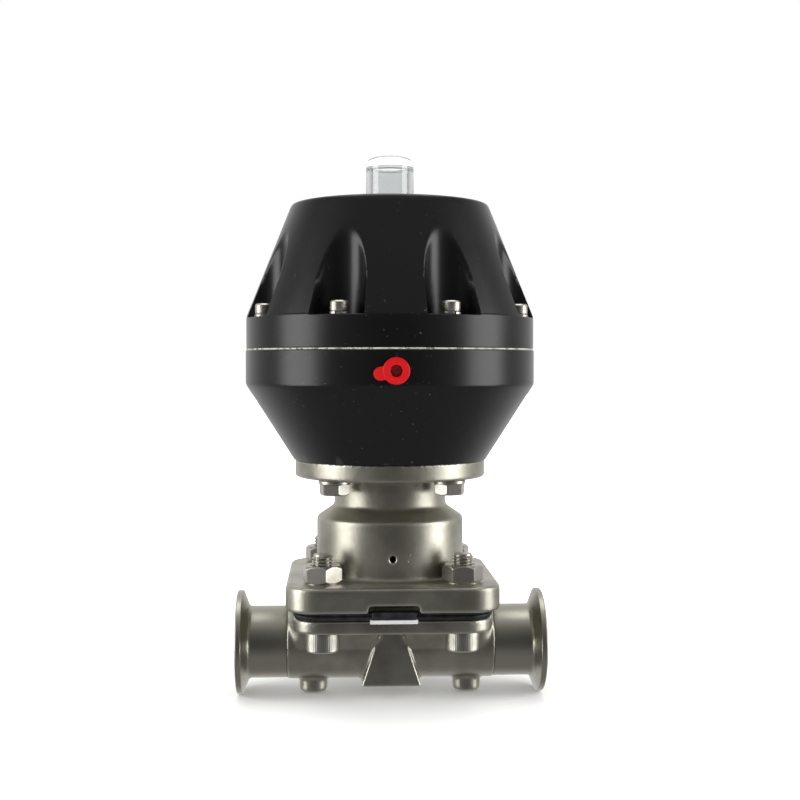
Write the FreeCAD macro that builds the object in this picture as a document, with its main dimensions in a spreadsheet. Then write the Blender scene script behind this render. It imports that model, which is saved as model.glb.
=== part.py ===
import FreeCAD, Part
import math
import os

import Sketcher

# Spring-to-close diaphragm valve with clamp ferrule ends.
# Row frame: +X along the pipe, -Y to the front (air port), +Z up the spindle.
# z = 0 is the plane of the two bosses under the body.

Vector = FreeCAD.Vector
doc = FreeCAD.newDocument("DiaphragmValve")
sheet = doc.addObject("Spreadsheet::Sheet", "Sizes")

# Driving dimensions, millimetres unless the name says otherwise.
SIZES = {
    # body casting
    "pipe_height": 24.0,
    "body_length": 150.0,
    "ferrule_radius": 25.25,
    "ferrule_rim": 2.85,
    "ferrule_cone": 3.0,
    "gasket_groove_radius": 21.8,
    "gasket_groove_width": 3.0,
    "gasket_groove_depth": 1.4,
    "tube_radius": 17.5,
    "bore_radius": 16.0,
    "casting_bore_radius": 16.4,
    "lobe_radius": 18.0,
    "lobe_end": 50.5,
    "shoulder_end": 41.0,
    "shoulder_width": 26.0,
    "body_flange_bottom": 36.4,
    "body_flange_top": 42.6,
    "body_flange_half": 46.7,
    "body_corner": 13.2,
    "web_top_half": 4.2,
    "web_foot_half": 14.5,
    "web_foot": 5.4,
    "web_face": 19.7,
    "boss_radius": 7.0,
    "boss_spacing": 75.6,
    "boss_tap_radius": 2.5,
    "boss_tap_depth": 5.5,
    # weir seat: an arc along the pipe, turned about an axis above the flange
    "seat_axis": 58.0,
    "seat_crest": 31.0,
    "seat_arc": 42.05,
    # body bolting
    "bolt_offset": 33.0,
    "bolt_radius": 5.0,
    "bolt_hole_radius": 5.5,
    "bolt_head_radius": 8.0,
    "bolt_head": 10.0,
    "bolt_socket_flat": 8.0,
    "bolt_socket_depth": 5.0,
    "bolt_tip": 72.0,
    "spot_face_radius": 9.0,
    "nut_flat": 17.0,
    "nut": 8.4,
    "nut_turn": 30.0,
    # valve diaphragm
    "face_sheet": 1.0,
    "diaphragm_half": 46.5,
    "diaphragm_corner": 13.2,
    "dish_gap": 0.3,
    "backing": 3.0,
    "tab_width": 20.4,
    "tab_reach": 49.4,
    "tab_rise": 0.6,
    "tab_droop": 1.2,
    "face_tab_width": 22.0,
    # bonnet casting
    "plate_half": 50.2,
    "plate_corner": 15.2,
    "plate_edge_round": 1.8,
    "casting_round": 2.4,
    "flange_edge_round": 1.2,
    "plate_bottom": 46.5,
    "plate_top": 58.5,
    "notch_width": 23.6,
    "notch": 3.4,
    "notch_depth": 4.6,
    "bell_radius": 36.0,
    "bell_shoulder": 86.2,
    "neck_radius": 27.4,
    "neck_bottom": 92.0,
    "top_flange_radius": 46.6,
    "top_flange_bottom": 106.0,
    "casing_seat": 114.4,
    "cavity_radius": 31.0,
    "cavity_straight": 78.0,
    "cavity_roof": 84.0,
    "cavity_roof_radius": 23.0,
    "bush_lip": 3.0,
    "lip_radius": 8.5,
    "bush_seat_radius": 11.5,
    "bush_top": 105.5,
    "weep_height": 69.4,
    "weep_radius": 1.6,
    # spindle group
    "spindle_radius": 7.0,
    "spindle_neck_radius": 6.0,
    "running_gap": 0.05,
    "bolt_gap": 0.25,
    "rod_gap": 0.15,
    "spindle_foot": 51.0,
    "spindle_shoulder": 149.0,
    "spindle_top": 173.0,
    "seal_section": 2.05,
    "compressor_skirt": 46.6,
    "compressor_hub_radius": 15.0,
    "compressor_hub": 66.0,
    "compressor_disc_radius": 26.0,
    "compressor_disc": 50.0,
    "pin_radius": 2.5,
    "pin_height": 60.0,
    "stud_radius": 4.0,
    "stud_head_radius": 6.5,
    "stud_head": 1.5,
    "stud_top": 49.0,
    "lower_plate_radius": 42.0,
    "lower_plate": 4.0,
    "upper_plate_radius": 45.0,
    "upper_plate": 5.0,
    "piston_nut_flat": 19.0,
    "piston_nut": 10.0,
    "rod_radius": 4.0,
    "rod_top": 238.4,
    "rod_tail": 12.0,
    # neck bolting
    "neck_bolt_circle": 38.5,
    "neck_bolt_radius": 4.0,
    "neck_bolt_flat": 13.0,
    "neck_bolt_head": 5.3,
    "neck_bolt_bite": 9.0,
    "neck_bolt_turn": 45.0,
    "neck_washer": 1.6,
    "neck_washer_radius": 7.6,
    # actuator casing
    "casing_foot_radius": 47.2,
    "casing_floor": 126.4,
    "band_radius": 70.6,
    "band_bottom": 151.2,
    "seam": 168.0,
    "membrane_edge": 0.8,
    "chamber_radius": 58.0,
    "chamber_floor_radius": 49.0,
    "chamber_straight": 141.0,
    "upper_band_radius": 70.3,
    "upper_band_top": 183.7,
    "crown_radius": 48.9,
    "crown_edge": 236.6,
    "crown_round": 2.1,
    "crown": 238.7,
    "step_height": 178.0,
    "spring_chamber_radius": 49.0,
    "spring_taper_start": 205.0,
    "spring_roof_radius": 42.0,
    "spring_roof": 231.7,
    "vent_height": 174.0,
    "vent_radius": 2.0,
    "scallop_radius": 12.8,
    "scallop_circle": 67.6,
    "scallop_floor": 183.2,
    "screw_circle": 65.2,
    "first_screw": 22.5,
    "screw_radius": 2.5,
    "screw_head_radius": 4.25,
    "screw_head": 5.0,
    "screw_socket_flat": 4.0,
    "screw_socket_depth": 2.6,
    "screw_tip": 154.0,
    "spring_washer": 1.2,
    "spring_washer_radius": 4.5,
    "membrane": 2.0,
    "membrane_bore": 6.1,
    "convolution_start": 48.0,
    "convolution_end": 56.5,
    # air port and plug
    "port_height": 158.0,
    "port_radius": 4.45,
    "plug_stem_radius": 4.35,
    "plug_stem": 8.0,
    "plug_disc_radius": 6.5,
    "plug_disc": 1.8,
    "plug_tab": 1.4,
    "plug_tab_reach": 7.05,
    "plug_tab_half": 3.25,
    "plug_tab_angle": 190.0,
    "plug_lift": 0.1,
    "plug_hole_radius": 2.65,
    "plug_hole": 7.0,
    # springs
    "outer_spring_radius": 36.0,
    "outer_spring_wire": 3.0,
    "outer_spring_turns": 5.0,
    "inner_spring_radius": 23.0,
    "inner_spring_wire": 2.5,
    "inner_spring_turns": 7.0,
    "spring_end_gap": 0.1,
    # sight dome
    "dome_radius": 11.7,
    "dome_top": 262.0,
    "dome_round": 4.0,
    "dome_bore_radius": 8.5,
    "dome_roof": 256.3,
    "dome_tail_radius": 10.5,
    "dome_tail": 6.4,
    "dome_seal_section": 0.55,
    "dome_seat": 1.2,
}


class Size:
    """A length from the sheet, or one worked out from such lengths, with its expression."""

    def __init__(self, value, text):
        self.value = value
        self.text = text

    def joined(self, other, sign, value):
        return Size(value, f"({self.text} {sign} {as_size(other).text})")

    def __add__(self, other):
        return self.joined(other, "+", self.value + as_size(other).value)

    def __sub__(self, other):
        return self.joined(other, "-", self.value - as_size(other).value)

    def __mul__(self, other):
        return self.joined(other, "*", self.value * as_size(other).value)

    def __truediv__(self, other):
        return self.joined(other, "/", self.value / as_size(other).value)

    def __neg__(self):
        return Size(-self.value, f"(0 - {self.text})")


def as_size(number):
    return number if isinstance(number, Size) else Size(float(number), f"{number:.9g}")


class Names:
    """The sheet's sizes by name: s.pipe_height and so on."""


s = Names()
for row, (alias, number) in enumerate(SIZES.items(), start=1):
    sheet.set(f"A{row}", alias)
    sheet.set(f"B{row}", str(number))
    sheet.setAlias(f"B{row}", alias)
    setattr(s, alias, Size(number, f"Sizes.{alias}"))
doc.recompute()

ZERO = as_size(0)
TURNED_45 = math.sqrt(0.5)
pieces = []


# sketches and features

def new_body(label):
    body = doc.addObject("PartDesign::Body", label)
    body.Label = label
    pieces.append(body)
    return body


def datum(body, role):
    return next(item for item in body.Origin.OriginFeatures if item.Role == role)


def new_sketch(body, plane, height=ZERO, shift_up=ZERO):
    """A sketch on one of the body's own planes, moved along its normal and up its own y."""
    sketch = body.newObject("Sketcher::SketchObject", f"{body.Name}_sketch")
    sketch.AttachmentSupport = (datum(body, plane), [""])
    sketch.MapMode = "FlatFace"
    sketch.setExpression("AttachmentOffset.Base.z", height.text)
    sketch.setExpression("AttachmentOffset.Base.y", shift_up.text)
    return sketch


def hold(sketch, geometry, point, x, y):
    """Hold a point of the sketch at (x, y) by dimensions bound to the sheet."""
    for kind, size, axis in (("DistanceX", x, -2), ("DistanceY", y, -1)):
        if abs(size.value) < 1e-9:
            sketch.addConstraint(Sketcher.Constraint("PointOnObject", geometry, point, axis))
            continue
        index = sketch.addConstraint(Sketcher.Constraint(kind, -1, 1, geometry, point, size.value))
        sketch.setExpression(f"Constraints[{index}]", size.text)


def outline(sketch, corners):
    """A closed outline of straight lines through the corners."""
    corners = [(as_size(x), as_size(y)) for x, y in corners]
    spots = [Vector(x.value, y.value, 0) for x, y in corners]
    first = sketch.GeometryCount
    count = len(spots)
    for i, spot in enumerate(spots):
        sketch.addGeometry(Part.LineSegment(spot, spots[(i + 1) % count]), False)
    for i in range(count):
        sketch.addConstraint(Sketcher.Constraint("Coincident", first + i, 2, first + (i + 1) % count, 1))
    for i, (x, y) in enumerate(corners):
        hold(sketch, first + i, 1, x, y)
    return sketch


def circle(sketch, x, y, radius):
    x, y, radius = as_size(x), as_size(y), as_size(radius)
    centre = Vector(x.value, y.value, 0)
    number = sketch.addGeometry(Part.Circle(centre, Vector(0, 0, 1), radius.value), False)
    index = sketch.addConstraint(Sketcher.Constraint("Radius", number, radius.value))
    sketch.setExpression(f"Constraints[{index}]", radius.text)
    if abs(x.value) < 1e-9 and abs(y.value) < 1e-9:
        sketch.addConstraint(Sketcher.Constraint("Coincident", number, 3, -1, 1))
    else:
        hold(sketch, number, 3, x, y)
    return sketch


def polygon(sketch, x, y, flat, turn_degrees=0.0, sides=6):
    """A regular polygon of the given width across flats."""
    reach = as_size(flat) / (2 * math.cos(math.pi / sides))
    corners = []
    for i in range(sides):
        angle = math.radians(as_size(turn_degrees).value) + 2 * math.pi * i / sides
        corners.append((as_size(x) + reach * math.cos(angle), as_size(y) + reach * math.sin(angle)))
    return outline(sketch, corners)


def barrel_outline(sketch, inset):
    """The seat's arc moved in by inset, closed along the axis that it turns about."""
    radius = s.seat_arc - inset
    drop = s.seat_arc + s.seat_crest - s.seat_axis
    half = math.sqrt(radius.value ** 2 - drop.value ** 2)
    centre = Vector(0, drop.value, 0)
    reach = math.asin(half / radius.value)
    arc = Part.ArcOfCircle(Part.Circle(centre, Vector(0, 0, 1), radius.value),
                           -math.pi / 2 - reach, -math.pi / 2 + reach)
    sketch.addGeometry(arc, False)
    sketch.addGeometry(Part.LineSegment(Vector(-half, 0, 0), Vector(half, 0, 0)), False)
    sketch.addConstraint(Sketcher.Constraint("Coincident", 0, 1, 1, 1))
    sketch.addConstraint(Sketcher.Constraint("Coincident", 0, 2, 1, 2))
    sketch.addConstraint(Sketcher.Constraint("PointOnObject", 1, 1, -1))
    sketch.addConstraint(Sketcher.Constraint("PointOnObject", 1, 2, -1))
    hold(sketch, 0, 3, ZERO, drop)
    index = sketch.addConstraint(Sketcher.Constraint("Radius", 0, radius.value))
    sketch.setExpression(f"Constraints[{index}]", radius.text)
    return sketch


def add(body, kind, sketch, name):
    feature = body.newObject(f"PartDesign::{kind}", f"{body.Name}_{name}")
    feature.Profile = sketch
    sketch.Visibility = False
    return feature


def pad(body, sketch, length, middle=False, reverse=False):
    feature = add(body, "Pad", sketch, "pad")
    feature.setExpression("Length", as_size(length).text)
    feature.SideType = "Symmetric" if middle else "One side"
    feature.Reversed = reverse
    doc.recompute()
    return feature


def pocket(body, sketch, length=None, reverse=False):
    """Cut against the sketch's normal, or along it if reversed; without a length, both ways through."""
    before = body.Shape.Volume
    feature = add(body, "Pocket", sketch, "pocket")
    if length is None:
        feature.Type = "ThroughAll"
        feature.SideType = "Symmetric"
    else:
        feature.setExpression("Length", as_size(length).text)
        feature.Reversed = reverse
    doc.recompute()
    check_cut(body, feature, before)
    return feature


def revolve(body, sketch, axis="V_Axis"):
    feature = add(body, "Revolution", sketch, "turn")
    feature.ReferenceAxis = (sketch, [axis])
    feature.Angle = 360
    doc.recompute()
    return feature


def groove(body, sketch, axis="V_Axis"):
    """Turn a sketch through the body as a cut."""
    before = body.Shape.Volume
    feature = add(body, "Groove", sketch, "groove")
    feature.ReferenceAxis = (sketch, [axis])
    feature.Angle = 360
    doc.recompute()
    check_cut(body, feature, before)
    return feature


def check_cut(body, feature, before):
    if body.Shape.Volume >= before - 1e-3:
        raise RuntimeError(f"{feature.Name} cut nothing from {body.Label}")


def around(body, features, count):
    """Repeat features round the spindle axis."""
    pattern = body.newObject("PartDesign::PolarPattern", f"{body.Name}_around")
    pattern.Originals = features
    pattern.Axis = (datum(body, "Z_Axis"), [""])
    pattern.Angle = 360
    pattern.Occurrences = count
    body.Tip = pattern
    doc.recompute()
    return pattern


def edges_where(shape, test):
    return [f"Edge{i}" for i, edge in enumerate(shape.Edges, start=1) if test(edge)]


def soften(body, test, size, kind="Fillet"):
    """Round or chamfer the edges that the test picks."""
    base = body.Tip
    names = edges_where(base.Shape, test)
    if not names:
        raise RuntimeError(f"no edge to soften on {body.Label}")
    feature = body.newObject(f"PartDesign::{kind}", f"{body.Name}_{kind.lower()}")
    feature.Base = (base, names)
    prop = "Radius" if kind == "Fillet" else "Size"
    feature.setExpression(prop, as_size(size).text)
    doc.recompute()
    return feature


def upright(edge):
    """A straight edge along Z."""
    ends = edge.Vertexes
    if len(ends) != 2 or not isinstance(edge.Curve, Part.Line):
        return False
    return abs(ends[0].Point.x - ends[1].Point.x) + abs(ends[0].Point.y - ends[1].Point.y) < 1e-6


def ring_at(radius, height):
    """Picks the round edge about Z with this radius and height."""

    def test(edge):
        curve = edge.Curve
        return (isinstance(curve, Part.Circle) and abs(curve.Radius - radius.value) < 1e-4
                and abs(curve.Center.z - height.value) < 1e-4
                and math.hypot(curve.Center.x, curve.Center.y) < 1e-6)

    return test


def square(half):
    return [(-half, -half), (half, -half), (half, half), (-half, half)]


def box_outline(left, bottom, right, top):
    return [(left, bottom), (right, bottom), (right, top), (left, top)]


def ring_profile(inner, bottom, outer, top):
    return box_outline(inner, bottom, outer, top)


def turned(label, corners):
    """A piece turned about the spindle axis from its half outline (radius, height)."""
    body = new_body(label)
    revolve(body, outline(new_sketch(body, "XZ_Plane"), corners))
    return body


def bolt_holes(body, radius):
    """Four holes on the body's bolt square, up through the bonnet's plate at most."""
    sketch = circle(new_sketch(body, "XY_Plane"), s.bolt_offset, s.bolt_offset, radius)
    return around(body, [pocket(body, sketch, s.plate_top + s.bolt_gap, reverse=True)], 4)


# body casting

def lobe_section(body, x, width):
    """U across the pipe: round below, then straight out to the width at the flange."""
    sketch = new_sketch(body, "YZ_Plane", as_size(x))
    radius = s.lobe_radius
    left = Vector(-radius.value, s.pipe_height.value, 0)
    right = Vector(radius.value, s.pipe_height.value, 0)
    low = Vector(0, s.pipe_height.value - radius.value, 0)
    top_left = Vector(-width.value, s.body_flange_bottom.value, 0)
    top_right = Vector(width.value, s.body_flange_bottom.value, 0)
    sketch.addGeometry(Part.Arc(left, low, right), False)
    chain = (right, top_right, top_left, left)
    for start, end in zip(chain, chain[1:]):
        sketch.addGeometry(Part.LineSegment(start, end), False)
    for first, second in ((0, 1), (1, 2), (2, 3)):
        sketch.addConstraint(Sketcher.Constraint("Coincident", first, 2, second, 1))
    sketch.addConstraint(Sketcher.Constraint("Coincident", 3, 2, 0, 1))
    hold(sketch, 0, 3, ZERO, s.pipe_height)
    hold(sketch, 2, 1, width, s.body_flange_bottom)
    hold(sketch, 2, 2, -width, s.body_flange_bottom)
    index = sketch.addConstraint(Sketcher.Constraint("Radius", 0, radius.value))
    sketch.setExpression(f"Constraints[{index}]", radius.text)
    sketch.addConstraint(Sketcher.Constraint("Horizontal", 0, 1, 0, 3))
    sketch.addConstraint(Sketcher.Constraint("Horizontal", 0, 2, 0, 3))
    return sketch


def web_outline(sketch, low, high):
    """The weir web's trapezoid, between two heights."""
    slope = (s.web_foot_half - s.web_top_half) / (s.body_flange_bottom - s.web_foot)

    def half_at(height):
        return s.web_foot_half - (as_size(height) - s.web_foot) * slope

    return outline(sketch, [(-half_at(low), low), (half_at(low), low),
                            (half_at(high), high), (-half_at(high), high)])


def build_valve_body():
    body = new_body("valve_body")
    # lobes either side of the weir, drawn in to the pipe at both ends
    narrow = s.lobe_radius * TURNED_45
    sections = [lobe_section(body, -s.lobe_end, narrow)]
    sections.append(lobe_section(body, -s.shoulder_end, s.shoulder_width))
    sections.append(lobe_section(body, s.shoulder_end, s.shoulder_width))
    sections.append(lobe_section(body, s.lobe_end, narrow))
    loft = add(body, "AdditiveLoft", sections[0], "lobes")
    loft.Sections = sections[1:]
    loft.Ruled = True
    doc.recompute()

    # recess between the lobes, front and back
    for side in (-1, 1):
        recess = new_sketch(body, "XZ_Plane", s.web_face * -side)
        web_outline(recess, s.web_foot - 8, s.body_flange_bottom + 1)
        pocket(body, recess, 40, reverse=side < 0)

    # pipe through the lobes
    pipe = new_sketch(body, "XZ_Plane", shift_up=s.pipe_height)
    outline(pipe, box_outline(-s.lobe_end, 0, s.lobe_end, s.lobe_radius))
    revolve(body, pipe, "H_Axis")

    # bosses under the pipes
    for side in (-1, 1):
        boss = circle(new_sketch(body, "XY_Plane"), s.boss_spacing / 2 * side, 0, s.boss_radius)
        pad(body, boss, s.pipe_height)

    # bore right through, then the weir web across it
    pocket(body, circle(new_sketch(body, "YZ_Plane"), 0, s.pipe_height, s.casting_bore_radius))
    web = web_outline(new_sketch(body, "XZ_Plane"), s.web_foot, s.body_flange_bottom)
    pad(body, web, s.web_face * 2, middle=True)

    # flange, with the seat's bowl cut down to the weir crest
    flange = outline(new_sketch(body, "XY_Plane", s.body_flange_bottom), square(s.body_flange_half))
    pad(body, flange, s.body_flange_top - s.body_flange_bottom)
    groove(body, barrel_outline(new_sketch(body, "XZ_Plane", shift_up=s.seat_axis), ZERO), "H_Axis")

    # spot faces for the screw heads, then the bolt holes
    spot = new_sketch(body, "XY_Plane", s.body_flange_bottom)
    circle(spot, s.bolt_offset, s.bolt_offset, s.spot_face_radius)
    around(body, [pocket(body, spot, s.body_flange_bottom)], 4)
    bolt_holes(body, s.bolt_hole_radius)

    # tapped holes in the bosses
    for side in (-1, 1):
        tap = circle(new_sketch(body, "XY_Plane"), s.boss_spacing / 2 * side, 0, s.boss_tap_radius)
        pocket(body, tap, s.boss_tap_depth, reverse=True)

    soften(body, lambda edge: upright(edge) and
           abs(abs(edge.CenterOfMass.x) - s.body_flange_half.value) < 1e-4 and
           abs(abs(edge.CenterOfMass.y) - s.body_flange_half.value) < 1e-4, s.body_corner)
    return body


def build_ferrule_stub(label, side):
    """Tube end with its clamp ferrule, welded to the body casting."""
    body = new_body(label)
    half = s.body_length / 2
    rim = half - s.ferrule_rim
    cone = rim - s.ferrule_cone
    stub = new_sketch(body, "XZ_Plane", shift_up=s.pipe_height)
    outline(stub, [
        (half * side, s.bore_radius), (half * side, s.ferrule_radius), (rim * side, s.ferrule_radius),
        (cone * side, s.tube_radius), (s.lobe_end * side, s.tube_radius), (s.lobe_end * side, s.bore_radius),
    ])
    revolve(body, stub, "H_Axis")
    ring = new_sketch(body, "XZ_Plane", shift_up=s.pipe_height)
    inner = s.gasket_groove_radius - s.gasket_groove_width / 2
    outer = s.gasket_groove_radius + s.gasket_groove_width / 2
    outline(ring, box_outline((half - s.gasket_groove_depth) * side, inner, (half + 1) * side, outer))
    groove(body, ring, "H_Axis")
    return body


# valve diaphragm

def dished_sheet(label, bottom, thickness, outer_inset, inner_inset):
    """A square sheet with its middle pressed down on the weir."""
    body = new_body(label)
    top = bottom + thickness
    dish = new_sketch(body, "XZ_Plane", shift_up=s.seat_axis)
    revolve(body, barrel_outline(dish, outer_inset), "H_Axis")
    above = outline(new_sketch(body, "XY_Plane", top), square(s.body_length))
    pocket(body, above, s.body_length, reverse=True)
    sheet_plan = outline(new_sketch(body, "XY_Plane", bottom), square(s.diaphragm_half))
    pad(body, sheet_plan, thickness)
    soften(body, lambda edge: upright(edge) and
           abs(abs(edge.CenterOfMass.x) - s.diaphragm_half.value) < 1e-4, s.diaphragm_corner)
    hollow = new_sketch(body, "XZ_Plane", shift_up=s.seat_axis)
    groove(body, barrel_outline(hollow, inner_inset), "H_Axis")
    bolt_holes(body, s.bolt_hole_radius)
    return body


def front_tab(body, width, bottom, top, inner):
    """A tab that stands out of the front edge of a sheet."""
    plan = new_sketch(body, "XY_Plane", bottom)
    outline(plan, box_outline(-width / 2, -s.tab_reach, width / 2, -inner))
    pad(body, plan, top - bottom)


def build_diaphragm():
    face_top = s.body_flange_top + s.face_sheet
    face = dished_sheet("diaphragm_face", s.body_flange_top, s.face_sheet,
                        s.dish_gap, s.dish_gap + s.face_sheet)
    front_tab(face, s.face_tab_width, s.body_flange_top, face_top, s.diaphragm_half - 2)
    front_tab(face, s.face_tab_width, s.body_flange_top - s.tab_droop, face_top,
              s.body_flange_half + s.bolt_gap)

    backing_outer = s.dish_gap + s.face_sheet + s.running_gap
    backing = dished_sheet("diaphragm_backing", face_top, s.plate_bottom - face_top,
                           backing_outer, backing_outer + s.backing)
    front_tab(backing, s.tab_width, face_top, s.plate_bottom, s.diaphragm_half - 2)
    front_tab(backing, s.tab_width, face_top, s.plate_bottom + s.tab_rise,
              s.plate_half - s.notch_depth + s.dish_gap)

    # bonded stud: a thin head that follows the rubber, its shank up into the compressor
    head_inset = backing_outer + s.backing + s.running_gap
    head_bottom = s.seat_crest + head_inset
    head_top = head_bottom + s.stud_head
    stud = new_body("diaphragm_stud")
    revolve(stud, barrel_outline(new_sketch(stud, "XZ_Plane", shift_up=s.seat_axis), head_inset), "H_Axis")
    above = outline(new_sketch(stud, "XY_Plane", head_top), square(s.body_length))
    pocket(stud, above, s.body_length, reverse=True)
    trim = new_sketch(stud, "XZ_Plane")
    outline(trim, box_outline(s.stud_head_radius, 0, s.body_length, s.seat_axis))
    groove(stud, trim)
    shank = circle(new_sketch(stud, "XY_Plane", head_top), 0, 0, s.stud_radius)
    pad(stud, shank, s.stud_top - head_top)
    return head_bottom, head_top


# bonnet

def build_bonnet():
    body = turned("bonnet", [
        (0, s.plate_bottom), (s.bell_radius, s.plate_bottom),
        (s.bell_radius, s.bell_shoulder), (s.neck_radius, s.neck_bottom),
        (s.neck_radius, s.top_flange_bottom), (s.top_flange_radius, s.top_flange_bottom),
        (s.top_flange_radius, s.casing_seat), (0, s.casing_seat),
    ])
    plate = outline(new_sketch(body, "XY_Plane", s.plate_bottom), square(s.plate_half))
    pad(body, plate, s.plate_top - s.plate_bottom)
    soften(body, lambda edge: upright(edge) and
           abs(abs(edge.CenterOfMass.x) - s.plate_half.value) < 1e-4, s.plate_corner)
    soften(body, lambda edge: abs(edge.CenterOfMass.z - s.plate_top.value) < 1e-4 and
           math.hypot(edge.CenterOfMass.x, edge.CenterOfMass.y) > s.bell_radius.value, s.plate_edge_round)
    soften(body, ring_at(s.bell_radius, s.plate_top), s.casting_round)
    soften(body, ring_at(s.neck_radius, s.neck_bottom), s.casting_round)
    soften(body, ring_at(s.bell_radius, s.bell_shoulder), s.casting_round)
    soften(body, ring_at(s.top_flange_radius, s.top_flange_bottom), s.flange_edge_round)

    # cavity for the compressor, lip under the bush
    cavity = new_sketch(body, "XZ_Plane")
    outline(cavity, [
        (0, s.plate_bottom - 1), (s.cavity_radius, s.plate_bottom - 1),
        (s.cavity_radius, s.cavity_straight), (s.cavity_roof_radius, s.cavity_roof), (0, s.cavity_roof),
    ])
    groove(body, cavity)
    lip_top = s.cavity_roof + s.bush_lip
    seat = new_sketch(body, "XZ_Plane")
    outline(seat, [
        (0, s.cavity_roof - 1), (s.lip_radius, s.cavity_roof - 1), (s.lip_radius, lip_top),
        (s.bush_seat_radius, lip_top), (s.bush_seat_radius, s.casing_seat + 1), (0, s.casing_seat + 1),
    ])
    groove(body, seat)
    finish_bonnet(body)
    return lip_top


def finish_bonnet(body):
    bolt_holes(body, s.bolt_hole_radius)
    notch = new_sketch(body, "XY_Plane", s.plate_bottom)
    half = s.notch_width / 2
    outline(notch, box_outline(-half, -s.plate_half - 1, half, -s.plate_half + s.notch_depth))
    pocket(body, notch, s.notch, reverse=True)
    weep = circle(new_sketch(body, "XZ_Plane"), 0, s.weep_height, s.weep_radius)
    pocket(body, weep, s.plate_half, reverse=True)
    corner = s.neck_bolt_circle * TURNED_45
    hole = circle(new_sketch(body, "XY_Plane", s.top_flange_bottom - 1), corner, corner,
                  s.neck_bolt_radius + s.bolt_gap)
    around(body, [pocket(body, hole, s.casing_seat - s.top_flange_bottom + 2, reverse=True)], 4)


# screws, nuts and bolts

def socket_screws(label, x, y, seat, head_radius, head, shank_radius, tip, flat, socket, count, up):
    """Socket cap screws round the spindle axis; up says that the shank points up."""
    body = new_body(label)
    towards = 1 if up else -1
    cap = circle(new_sketch(body, "XY_Plane", seat), x, y, head_radius)
    first = pad(body, cap, head, reverse=up)
    shank = circle(new_sketch(body, "XY_Plane", seat), x, y, shank_radius)
    second = pad(body, shank, (tip - seat) * towards, reverse=not up)
    recess = polygon(new_sketch(body, "XY_Plane", seat - head * towards), x, y, flat)
    third = pocket(body, recess, socket, reverse=up)
    around(body, [first, second, third], count)
    return body


def hex_pieces(label, x, y, bottom, height, flat, turn, count):
    """Hexagons round the spindle axis, corners broken by a cone at both ends."""
    body = new_body(label)
    plan = polygon(new_sketch(body, "XY_Plane", bottom), x, y, flat, turn)
    return body, pad(body, plan, height)


def build_fasteners():
    socket_screws("body_screws", s.bolt_offset, s.bolt_offset, s.body_flange_bottom,
                  s.bolt_head_radius, s.bolt_head, s.bolt_radius, s.bolt_tip,
                  s.bolt_socket_flat, s.bolt_socket_depth, 4, up=True)

    nuts, block = hex_pieces("flange_nuts", s.bolt_offset, s.bolt_offset, s.plate_top, s.nut,
                             s.nut_flat, s.nut_turn, 4)
    bore = circle(new_sketch(nuts, "XY_Plane", s.plate_top), s.bolt_offset, s.bolt_offset,
                  s.bolt_radius + s.running_gap)
    hole = pocket(nuts, bore, s.nut, reverse=True)
    around(nuts, [block, hole], 4)

    corner = s.neck_bolt_circle * TURNED_45
    washer_bottom = s.top_flange_bottom - s.neck_washer
    washers = new_body("neck_washers")
    plan = circle(new_sketch(washers, "XY_Plane", washer_bottom), corner, corner, s.neck_washer_radius)
    circle(plan, corner, corner, s.neck_bolt_radius + s.bolt_gap)
    around(washers, [pad(washers, plan, s.neck_washer)], 4)

    bolts, head = hex_pieces("neck_bolts", corner, corner, washer_bottom - s.neck_bolt_head,
                             s.neck_bolt_head, s.neck_bolt_flat, s.neck_bolt_turn, 4)
    shank = circle(new_sketch(bolts, "XY_Plane", washer_bottom), corner, corner, s.neck_bolt_radius)
    tip = s.casing_seat + s.neck_bolt_bite
    around(bolts, [head, pad(bolts, shank, tip - washer_bottom)], 4)

    turn = math.radians(s.first_screw.value)
    x = s.screw_circle * math.cos(turn)
    y = s.screw_circle * math.sin(turn)
    seat = s.scallop_floor + s.spring_washer
    socket_screws("casing_screws", x, y, seat, s.screw_head_radius, s.screw_head, s.screw_radius,
                  s.screw_tip, s.screw_socket_flat, s.screw_socket_depth, 8, up=False)
    springs = new_body("casing_screw_washers")
    plan = circle(new_sketch(springs, "XY_Plane", s.scallop_floor), x, y, s.spring_washer_radius)
    circle(plan, x, y, s.screw_radius + s.bolt_gap)
    around(springs, [pad(springs, plan, s.spring_washer)], 8)


# spindle group

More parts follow.
